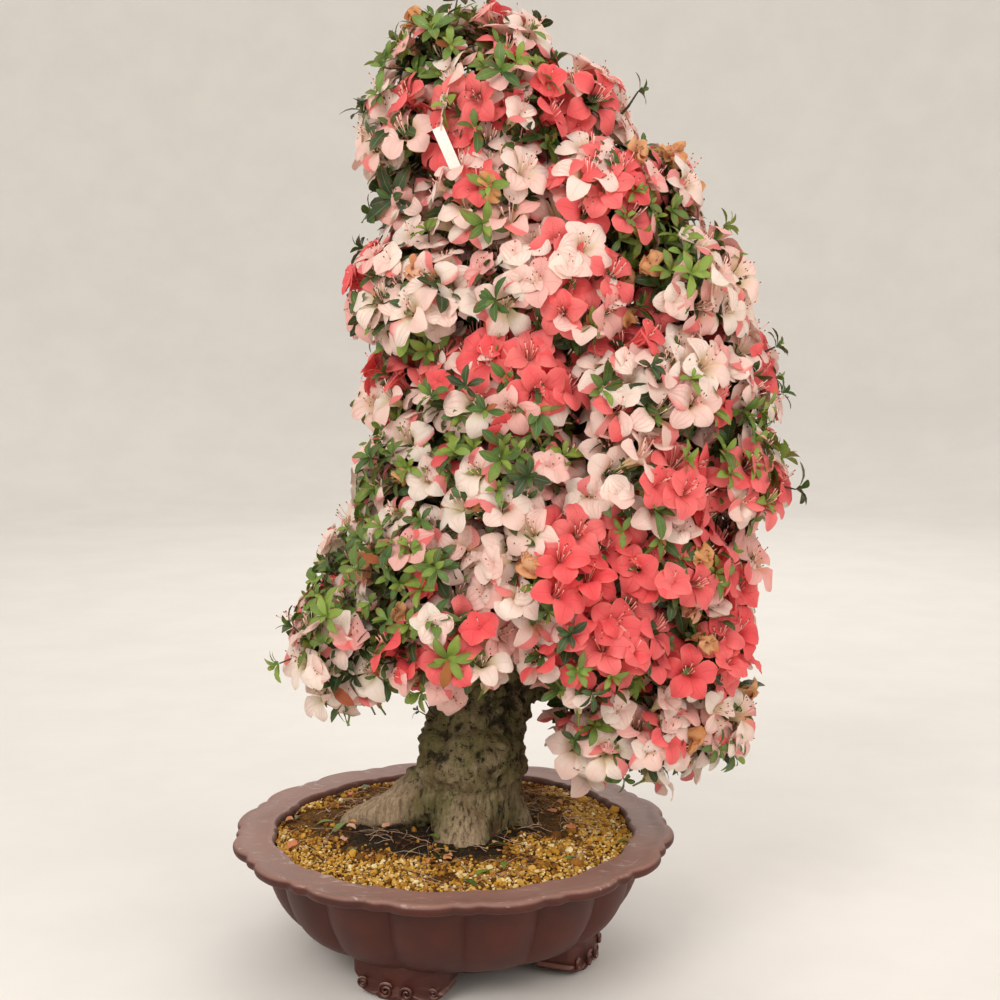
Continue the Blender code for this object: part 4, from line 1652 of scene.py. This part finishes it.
@dataclass
class Crown:
    """The flowering crown: it surveys the pads' open surfaces, and dresses them."""

    axis: Vector
    trunk_lean: float = 0.05
    flower_gap: float = 0.0275
    under_clear: float = 0.0185
    shoot_gap: float = 0.024
    petal: Blade = Blade(
        "petal",
        (
            Row(0.0016, 0.0000, 0.0018, 0.0004),
            Row(0.0050, 0.0110, 0.0046, 0.0024),
            Row(0.0105, 0.0182, 0.0084, 0.0026),
            Row(0.0160, 0.0216, 0.0114, 0.0010),
            Row(0.0215, 0.0222, 0.0114, -0.0012),
            Row(0.0262, 0.0206, 0.0086, -0.0020),
            Row(0.0296, 0.0180, 0.0046, -0.0012),
            Row(0.0314, 0.0160, 0.0008, 0.0),
        ),
        4,
    )
    leaf: Blade = Blade(
        "leaf",
        (
            Row(0.0000, 0.0000, 0.0007, 0.0),
            Row(0.0060, 0.0010, 0.0030, 0.0008),
            Row(0.0130, 0.0014, 0.0052, 0.0014),
            Row(0.0190, 0.0006, 0.0052, 0.0012),
            Row(0.0238, -0.0010, 0.0030, 0.0006),
            Row(0.0262, -0.0022, 0.0004, 0.0),
        ),
        2,
    )
    coral: tuple[Drift, ...] = (
        Drift(0.45, 0.85, 0.15, 0.05),
        Drift(0.65, 0.70, 0.10, 0.10),
        Drift(0.45, 0.55, 0.15, 0.05),
        Drift(0.85, 0.40, 0.10, 0.10),
        Drift(0.90, 0.25, 0.05, 0.10),
        Drift(0.65, 0.30, 0.15, 0.05),
        Drift(0.60, 0.20, 0.15, 0.05),
        Drift(0.30, 0.20, 0.10, 0.05),
    )
    green: tuple[Drift, ...] = (
        Drift(0.20, 0.35, 0.10, 0.15),
        Drift(0.10, 0.25, 0.10, 0.05),
        Drift(0.30, 0.95, 0.20, 0.05),
        Drift(0.35, 0.45, 0.15, 0.05),
        Drift(0.95, 0.45, 0.10, 0.05),
        Drift(0.75, 0.70, 0.10, 0.05),
    )

    def pads(self) -> list[str]:
        """The names of the crown's pads."""
        return sorted(name for name in frame["nodes"] if name.startswith("pad_"))

    def survey(self) -> list[Site]:
        """Find open places over all the pads.

        Returns:
            The sites, in random order.
        """
        points: list[Vector] = []
        faces: list[tuple[int, ...]] = []
        owners: list[str] = []
        for pad in self.pads():
            mesh = frame["nodes"][pad].data
            start = len(points)
            points += [vertex.co.copy() for vertex in mesh.vertices]
            for face in mesh.polygons:
                faces.append(tuple(start + i for i in face.vertices))
                owners.append(pad)
        self.tree = BVHTree.FromPolygons(points, faces)
        self.low = Vector([min(point[k] for point in points) for k in range(3)])
        self.high = Vector([max(point[k] for point in points) for k in range(3)])
        rng = random.Random(5)
        sites = []
        for face, pad in zip(faces, owners):
            a, b, c = (points[i] for i in face[:3])
            normal = (b - a).cross(c - a)
            area = normal.length / 2
            if area < 1e-9:
                continue
            normal.normalize()
            wanted = area / 0.000030
            count = int(wanted) + (1 if rng.random() < wanted % 1.0 else 0)
            for _ in range(count):
                u, v = rng.random(), rng.random()
                if u + v > 1:
                    u, v = 1 - u, 1 - v
                place = a + (b - a) * u + (c - a) * v
                hit = self.tree.ray_cast(place + normal * 0.0006, normal, 0.12)[3]
                room = 0.12 if hit is None else hit
                sites.append(Site(pad, place, normal, room))
        rng.shuffle(sites)
        return sites

    @staticmethod
    def spaced(
        sites: Sequence[Site],
        gap: Callable[[Site], float],
        taken: Sequence[Site] = (),
        clear: float = 0.0,
    ) -> list[Site]:
        """Keep sites that stand apart.

        Args:
            sites: the sites in their order of choice.
            gap: the distance that a site needs, or 0 to leave it out.
            taken: sites that are in use already.
            clear: the distance that is kept from those.

        Returns:
            The sites kept.
        """
        kept: list[Site] = []
        places = np.zeros((len(sites), 3))
        used = np.array([site.place for site in taken]) if taken else np.full((1, 3), 9.0)
        for site in sites:
            wanted = gap(site)
            if wanted <= 0:
                continue
            here = np.array(site.place)
            if kept and ((places[: len(kept)] - here) ** 2).sum(1).min() < wanted**2:
                continue
            if ((used - here) ** 2).sum(1).min() < clear**2:
                continue
            places[len(kept)] = here
            kept.append(site)
        return kept

    def facing(self, site: Site) -> Vector:
        """The way a flower or shoot at a site looks: outward from its pad and from the tree, a little up.

        Args:
            site: the site.

        Returns:
            The direction.
        """
        middle = Vector((self.axis.x + self.trunk_lean, self.axis.y, site.place.z - 0.06))
        away = (site.place - middle).normalized()
        return (site.out * 0.7 + away * 0.8 + Vector((0.0, 0.0, 0.12))).normalized()

    def share(self, drifts: Sequence[Drift], place: Vector) -> float:
        """How much a place belongs to some drifts, from 0 to 1, with ragged edges.

        Args:
            drifts: the drifts, which lie on the front.
            place: the place.

        Returns:
            The share.
        """
        across = (place.x - self.low.x) / (self.high.x - self.low.x)
        height = (place.z - self.low.z) / (self.high.z - self.low.z)
        ragged = noise.noise(place * 24.0) * 0.7
        best = 0.0
        for drift in drifts:
            far = math.hypot((across - drift.across) / drift.wide, (height - drift.height) / drift.tall)
            best = max(best, min(1.0, max(0.0, 1.6 + ragged - far)))
        front = min(1.0, max(0.0, (0.03 - (place.y - self.axis.y)) / 0.05))
        return best * front

    def kind_at(self, place: Vector, rng: random.Random) -> Kind:
        """Pick what opens at a place.

        Args:
            place: the place.
            rng: the random numbers.

        Returns:
            The flower's kind.
        """
        behind = place.y - self.axis.y > 0.02
        chance = self.share(self.coral, place)
        if behind:
            chance = 0.9 if noise.noise(place * 13.0 + Vector((2, 8, 5))) > 0.12 else 0.1
        chance = 0.08 + 0.84 * chance
        dry = 0.04 + 0.10 * self.share(self.green, place)
        if rng.random() < dry:
            return Kind.WITHERED
        if rng.random() < chance:
            return Kind.CORAL
        return Kind.PINK if rng.random() < 0.28 else Kind.PALE


@dataclass
class Flowers:
    """The open and withered flowers, built from one petal and a few stamens."""

    petal: Stamp
    finishes: tuple[bpy.types.Material, bpy.types.Material]

    def bloom(self, cluster: Cluster, place: Vector, out: Vector, kind: Kind, rng: random.Random) -> None:
        """Open one flower.

        Args:
            cluster: the cluster that it joins.
            place: the surface point that its mouth lies at.
            out: the way that it faces.
            kind: what it is.
            rng: the random numbers.
        """
        wilted = kind is Kind.WITHERED
        size = rng.uniform(0.80, 0.98) * (0.8 if wilted else 1.0)
        frame_turn = faced(out, rng.uniform(-0.5, 0.5))
        tint = {
            Kind.PALE: 0.0,
            Kind.PINK: rng.uniform(0.12, 0.45),
            Kind.CORAL: rng.uniform(0.85, 1.0),
            Kind.WITHERED: 0.2,
        }
        if wilted:
            opening = rng.uniform(0.5, 0.9)
        else:
            opening = rng.choice((-0.10, 0.0, 0.12, 0.35, 0.60)) + rng.uniform(-0.1, 0.1)
        wilt = rng.uniform(0.6, 1.0) if wilted else 0.0
        seed = rng.random()
        base = np.array(place - out.normalized() * 0.019 * size)
        lobes = 5 if rng.random() < 0.85 else 6
        phase = np.array([rng.uniform(0, math.tau) for _ in range(3)])
        for i in range(lobes):
            turn = turned(math.tau * i / lobes + rng.uniform(-0.09, 0.09), "Z")
            lean = turned(opening + rng.uniform(-0.13, 0.13), "X")
            roll = turned(rng.uniform(-0.15, 0.15), "Y")
            points = (turn @ lean @ roll @ (self.petal.points * size * rng.uniform(0.94, 1.06)).T).T
            wave = 0.0011 if not wilted else 0.004
            points += wave * np.sin(points[:, [1, 2, 0]] * 330.0 + phase + i * 1.7)
            points = (frame_turn @ points.T).T + base
            own = (seed + i * 0.037 * (1 if kind is not Kind.CORAL else 0.2)) % 1.0
            upper = 1.0 if i == 0 and not wilted else 0.0
            cluster.add(points, self.petal, (tint[kind], own, upper, wilt), 0)
        self._stamens(cluster, base, frame_turn, size, tint[kind], wilt, rng)

    def _stamens(
        self,
        cluster: Cluster,
        base: np.ndarray,
        turn: np.ndarray,
        size: float,
        tint: float,
        wilt: float,
        rng: random.Random,
    ) -> None:
        """Add a flower's stamens, style and stalk.

        Args:
            cluster: the cluster that they join.
            base: the flower's base.
            turn: the flower's turn.
            size: its size.
            tint: how coral it is.
            wilt: how withered it is.
            rng: the random numbers.
        """
        for i in range(6):
            style = i == 0
            angle = math.tau * i / 5 + rng.uniform(-0.4, 0.4)
            spread = (0.004 if style else 0.0065) * size * rng.uniform(0.6, 1.3)
            length = (0.037 if style else 0.030) * size * rng.uniform(0.88, 1.1)
            path = []
            for k in range(5):
                share = k / 4
                side = spread * share**1.4
                bend = 0.009 * size * share**3
                rise = math.sin(angle) * side + bend - 0.002 * share
                spot = np.array((math.cos(angle) * side, rise, length * share))
                path.append(Vector(base + turn @ spot))
            tip = 0.0007 if not style else 0.0006
            radii = [0.00036, 0.00032, 0.00028, 0.00026, tip]
            cluster.tube(path, radii, 3, (tint if not style else 0.9, rng.random(), 0.0, wilt), 1)
        stalk = [Vector(base + turn @ np.array((0.0, 0.0, z))) for z in (-0.012, -0.004, 0.0015, 0.004)]
        cluster.tube(stalk, [0.0009, 0.0010, 0.0022, 0.0016], 5, (0.0, rng.random(), 1.0, 0.0), 1)


@dataclass
class Shoots:
    """Leafy shoots: a rosette of leaves at the end of a short twig."""

    leaf: Stamp

    def sprout(
        self, cluster: Cluster, place: Vector, out: Vector, youth_and_shade: float, size: float, rng: random.Random
    ) -> None:
        """Add one rosette.

        Args:
            cluster: the cluster that it joins.
            place: where the leaves spring from.
            out: the way that the shoot grows.
            youth_and_shade: 0 for old dark leaves and 1 for young ones.
            size: the leaves' size.
            rng: the random numbers.
        """
        count = rng.randint(5, 8)
        turn = faced(out, rng.uniform(0, math.tau))
        base = np.array(place)
        for i in range(count):
            inner = i >= count - 2
            lean = rng.uniform(0.15, 0.65) + (0.55 if inner else 0.0)
            spin = math.tau * i * 0.382 + rng.uniform(-0.3, 0.3)
            scale = size * rng.uniform(0.72, 1.12) * (0.66 if inner else 1.0)
            own = turned(spin, "Z") @ turned(lean, "X") @ turned(rng.uniform(-0.5, 0.5), "Y")
            points = self.leaf.points * scale
            points[:, 2] -= (points[:, 1] ** 2) * rng.uniform(2.0, 12.0)
            points = (turn @ own @ points.T).T + base + np.array(out) * (0.004 * i / count)
            tone = min(1.0, max(0.0, youth_and_shade + rng.uniform(-0.15, 0.15) + (0.25 if inner else 0.0)))
            rust = 0.8 if rng.random() < 0.025 else 0.0
            cluster.add(points, self.leaf, (tone, rng.random(), rust, 0.3))


@dataclass
class Foliage:
    """Everything that the pads stand for: flowers, leafy shoots and twigs."""

    crown: Crown
    flowers: Flowers
    shoots: Shoots
    leaf_finish: bpy.types.Material
    twig_finish: bpy.types.Material

    def build(self) -> None:
        """Dress every pad with its own flowers, leaves and twigs."""
        sites = self.crown.survey()
        blooms = self.crown.spaced(sites, self.flower_room)
        under = self.crown.spaced(sites, self.flower_room, blooms, self.crown.under_clear)
        shoots = self.crown.spaced(sites, self.shoot_room)
        LOG.info("crown: %d + %d flowers, %d shoots", len(blooms), len(under), len(shoots))
        for pad in self.crown.pads():
            self.dress(pad, *([s for s in kind if s.pad == pad] for kind in (blooms, under, shoots)))

    def flower_room(self, site: Site) -> float:
        """The distance that a flower keeps from the next, or 0 where none opens.

        Args:
            site: the site.

        Returns:
            The distance.
        """
        if site.room < 0.014:
            return 0.0
        gap = self.crown.flower_gap
        green = self.crown.share(self.crown.green, site.place)
        if site.place.y - self.crown.axis.y > 0.03:
            gap *= 1.12
        if site.out.z < -0.35:
            gap *= 1.7
        return gap * (1.0 + 0.4 * green)

    def shoot_room(self, site: Site) -> float:
        """The distance that a shoot keeps from the next, or 0 where none grows.

        Args:
            site: the site.

        Returns:
            The distance.
        """
        if site.room < 0.006:
            return 0.0
        green = self.crown.share(self.crown.green, site.place)
        return self.crown.shoot_gap * (1.0 - 0.35 * green)

    def dress(self, pad: str, blooms: Sequence[Site], under: Sequence[Site], shoots: Sequence[Site]) -> None:
        """Build one pad's flowers, leaves and twigs.

        Args:
            pad: the pad.
            blooms: its foremost flowers' sites.
            under: the sites of the flowers that lie deeper between them.
            shoots: its shoots' sites.
        """
        rng = random.Random(pad)
        low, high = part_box(pad)
        heart = (low + high) / 2
        if blooms or under:
            cluster = Cluster("flowers_" + pad[4:])
            for order, site in enumerate([*blooms, *under]):
                out = self.crown.facing(site)
                out = (out + Vector([rng.uniform(-0.45, 0.45) for _ in range(3)])).normalized()
                kind = self.crown.kind_at(site.place, rng)
                if kind is Kind.WITHERED:
                    out = (out + Vector((0, 0, -0.5))).normalized()
                sink = rng.uniform(0.001, 0.008) + (0.010 if order >= len(blooms) else 0.0)
                self.flowers.bloom(cluster, site.place - site.out * sink, out, kind, rng)
            settle(cluster.piece(self.flowers.finishes), frame_slot(pad), pad)
        leaves = Cluster("leaves_" + pad[4:])
        twigs = Cluster("twigs_" + pad[4:])
        for site in shoots:
            green = self.crown.share(self.crown.green, site.place)
            crowded = any((b.place - site.place).length < 0.016 for b in blooms)
            proud = rng.random() < (0.05 if crowded else 0.35) + 0.6 * green
            out = (self.crown.facing(site) + Vector([rng.uniform(-0.4, 0.4) for _ in range(3)])).normalized()
            # Hidden shoots sit deeper and get darker leaves: painted shade inside the crown.
            depth = rng.uniform(-0.001, 0.009) if proud else rng.uniform(0.014, 0.022)
            youth_and_shade = rng.uniform(0.45, 0.95) if proud else rng.uniform(0.0, 0.5)
            place = site.place - site.out * depth
            if rng.random() < (0.30 if site.place.z > 0.84 else 0.035 + 0.05 * green):
                place = site.place + (out + Vector((0.0, 0.0, 0.5))).normalized() * rng.uniform(0.008, 0.016)
            self.shoots.sprout(leaves, place, out, youth_and_shade, rng.uniform(0.58, 0.92), rng)
            # A second rosette deep inside each shoot, with the darkest leaves: painted shade that fills the
            # crown's interior.
            deep = site.place - site.out * rng.uniform(0.028, 0.040)
            self.shoots.sprout(leaves, deep, out, rng.uniform(0.0, 0.25), 1.1, rng)
            bend = Vector([rng.uniform(-0.01, 0.01) for _ in range(3)])
            path = [heart, heart.lerp(place, 0.35) + bend, heart.lerp(place, 0.7) + bend * 0.6, place]
            tone = (0.3 if proud else 0.1, rng.random(), 0.0, 1.0)
            twigs.tube(path, [0.0026, 0.0019, 0.0013, 0.0008], 4, tone)
        if shoots:
            settle(leaves.piece([self.leaf_finish]), "pad_leaf", pad)
            settle(twigs.piece([self.twig_finish]), "bark", pad)


def frame_slot(pad: str) -> str:
    """The record's material slot of a CAD node.

    Args:
        pad: the node's name.

    Returns:
        The name of its material slot.
    """
    for part in frame["record"].get("subparts", []):
        if part.get("node") == pad or part.get("name") == pad:
            return part.get("material") or part.get("material_slot") or "pad_white"
    return "pad_white"


@dataclass
class Slip:
    """A blank paper slip, tied in the upper crown."""

    crown: Crown
    length: float = 0.056
    width: float = 0.010
    across: float = 0.0025
    height: float = 0.738
    lean: float = 0.42

    def build(self) -> bpy.types.Object:
        """Cut the slip, curl it and hang it before the flowers.

        Returns:
            The finished slip.
        """
        seen = Vector((self.crown.axis.x + self.across, -1.0, self.height))
        front = self.crown.tree.ray_cast(seen, Vector((0.0, 1.0, 0.0)))[0]
        Bench.clear()
        bpy.ops.mesh.primitive_grid_add(x_subdivisions=2, y_subdivisions=10, size=1.0)
        slip = bpy.context.object
        slip.name = "blank_slip"
        Bench.edit(slip)
        bpy.ops.mesh.select_all(action="SELECT")
        bpy.ops.transform.resize(value=(self.width, self.length, 1.0))
        shape = bmesh.from_edit_mesh(slip.data)
        for point in shape.verts:
            point.co.z = 0.0016 * math.sin(point.co.y * 90.0) + 0.05 * point.co.x**2
        bmesh.update_edit_mesh(slip.data)
        middle = (0.0, 0.0, 0.0)
        bpy.ops.transform.rotate(value=math.radians(90.0), orient_axis="X", center_override=middle)
        bpy.ops.transform.rotate(value=self.lean, orient_axis="Y", center_override=middle)
        bpy.ops.transform.translate(value=front + Vector((0.0, -0.016, 0.0)))
        bpy.ops.object.mode_set(mode="OBJECT")
        Bench.modify(slip, "SOLIDIFY", thickness=0.0004)
        finish = PlainFinish("paper", shade(240, 236, 228), shade(228, 222, 212), 0.7, 420.0, 0.0003)
        Bench.finish(slip, finish.material(), 60.0)
        return settle(slip, "pad_white")


@dataclass
class TrunkShoot:
    """A tiny green shoot that springs from the trunk's left side."""

    wood: bpy.types.Object
    shoots: Shoots
    height: float = 0.226

    def build(self, start: Vector, leaf: bpy.types.Material, twig: bpy.types.Material) -> None:
        """Grow the shoot from the bark.

        Args:
            start: the pot's axis.
            leaf: the leaves' material.
            twig: the twig's material.
        """
        beside = Vector((start.x - 0.2, start.y - 0.01, self.height))
        root = self.wood.ray_cast(beside, Vector((1.0, 0.0, 0.0)))[1]
        rng = random.Random(3)
        stem = Cluster("trunk_shoot_stem")
        leaves = Cluster("trunk_shoot_leaves")
        tips = (Vector((-0.014, -0.002, 0.007)), Vector((-0.009, 0.002, 0.016)))
        for tip in tips:
            sag = Vector((0.0, 0.0, -0.001))
            path = [root + Vector((0.003, 0.0, 0.0)) + sag, root + tip * 0.5 + sag, root + tip]
            stem.tube(path, [0.0009, 0.0007, 0.0005], 5, (0.2, rng.random(), 0.0, 1.0))
            self.shoots.sprout(leaves, root + tip, tip.normalized(), 0.6, 0.34, rng)
        settle(stem.piece([twig]), "bark")
        settle(leaves.piece([leaf]), "pad_leaf")


# ---------------------------------------------------------------- studio


@dataclass
class Studio:
    """A pale floor, soft light and the camera."""

    axis: Vector
    aside: float = 0.0443
    height: float = 0.617
    distance: float = 1.459
    pitch: float = 7.21
    lens: float = 56.7

    def build(self) -> None:
        """Set up the floor, the lights, the world and the camera."""
        self._floor()
        self._lamp("key", (-1.3, -2.3, 2.3), 1.8, 56.0)
        self._lamp("fill", (2.0, -1.8, 1.5), 2.4, 26.0)
        self._lamp("back", (0.4, 2.4, 2.2), 2.4, 26.0)
        self._world()
        self._camera()

    def _floor(self) -> None:
        """The pale floor, which sweeps up far away all round."""
        rings = []
        for i in range(18):
            turn = math.radians(90.0) * max(0, i - 5) / 12
            reach = 3.2 * (0.12 + i) / 5.12 if i <= 5 else 3.2 + 1.6 * math.sin(turn)
            rise = 0.0 if i <= 5 else 2.6 * (1.0 - math.cos(turn))
            spin = [math.tau * k / 96 for k in range(96)]
            rings.append([Vector((reach * math.cos(a), reach * math.sin(a), rise)) for a in spin])
        floor = Bench.loft("floor", rings, False)
        Bench.take(floor)
        bpy.ops.object.mode_set(mode="EDIT")
        Bench.pick(floor, lambda co: math.hypot(co.x, co.y) < 0.1)
        bpy.ops.mesh.edge_face_add()
        bpy.ops.object.mode_set(mode="OBJECT")
        bpy.ops.object.shade_smooth()
        floor.data.materials.append(
            PlainFinish("floor", shade(226, 222, 217), shade(222, 218, 213), 0.6, 6.0, 0.0005).material()
        )

    def _lamp(self, name: str, place: Sequence[float], size: float, power: float) -> None:
        """One soft lamp that looks at the crown.

        Args:
            name: its name.
            place: where it stands.
            size: its side.
            power: its power in watts.
        """
        data = bpy.data.lights.new(name, "AREA")
        data.shape = "DISK"
        data.size = size
        data.energy = power
        data.color = (1.0, 0.97, 0.93)
        lamp = bpy.data.objects.new(name, data)
        lamp.location = place
        lamp.rotation_euler = (Vector((0.0, 0.0, 0.45)) - Vector(place)).to_track_quat("-Z", "Y").to_euler()
        bpy.context.scene.collection.objects.link(lamp)

    def _world(self) -> None:
        """An even pale surround."""
        world = bpy.data.worlds.new("surround")
        bpy.context.scene.world = world
        world.use_nodes = True
        back = world.node_tree.nodes["Background"]
        back.inputs["Color"].default_value = shade(242, 238, 232)
        back.inputs["Strength"].default_value = 0.92
        bpy.context.scene.view_settings.view_transform = "Standard"

    def _camera(self) -> None:
        """The camera, a little above the pot's rim and looking slightly down."""
        data = bpy.data.cameras.new("camera")
        data.lens = self.lens
        data.sensor_width = 36.0
        camera = bpy.data.objects.new("camera", data)
        camera.location = (self.axis.x + self.aside, self.axis.y - self.distance, self.height)
        camera.rotation_euler = (math.radians(90.0 - self.pitch), 0.0, 0.0)
        bpy.context.scene.collection.objects.link(camera)
        bpy.context.scene.camera = camera


def main() -> None:
    """Build every sub-assembly in order, and write how large the model is."""
    logging.basicConfig(level=logging.INFO, format="%(name)s %(message)s", stream=sys.stdout)
    low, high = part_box("pot")
    axis = Vector(((low.x + high.x) / 2, (low.y + high.y) / 2, 0.0))
    pot = Pot(axis)
    pot.build()
    plastic = PlainFinish("screen_plastic", shade(30, 36, 32), shade(44, 50, 44), 0.45, 300.0, 0.0004)
    screen = plastic.material()
    for name, node in frame["nodes"].items():
        if name.startswith("drain_screen"):
            for held in node.material_slots:
                held.material = screen
    wood = Wood().carve()
    points = [vertex.co for vertex in wood.data.vertices]
    wood_tree = BVHTree.FromPolygons(points, [tuple(face.vertices) for face in wood.data.polygons])
    crown = Crown(axis)
    petal = crown.petal.stamp()
    leaf = crown.leaf.stamp()
    petal_finish = PetalFinish().material()
    leaf_finish = LeafFinish().material()
    bed = SoilBed(pot, wood_tree)
    bed.build_bed()
    bed.build_granules()
    fallen, leaves = bed.build_litter(petal, leaf)
    settle(fallen.piece([petal_finish]), "pad_coral")
    settle(leaves.piece([leaf_finish]), "pad_leaf")
    flowers = Flowers(petal, (petal_finish, StamenFinish().material()))
    shoots = Shoots(leaf)
    twig_finish = TwigFinish().material()
    Foliage(crown, flowers, shoots, leaf_finish, twig_finish).build()
    TrunkShoot(wood, shoots).build(axis, leaf_finish, twig_finish)
    Slip(crown).build()
    Studio(axis).build()
    Bench.clear()
    bpy.context.view_layer.update()


if __name__ == "__main__":
    main()
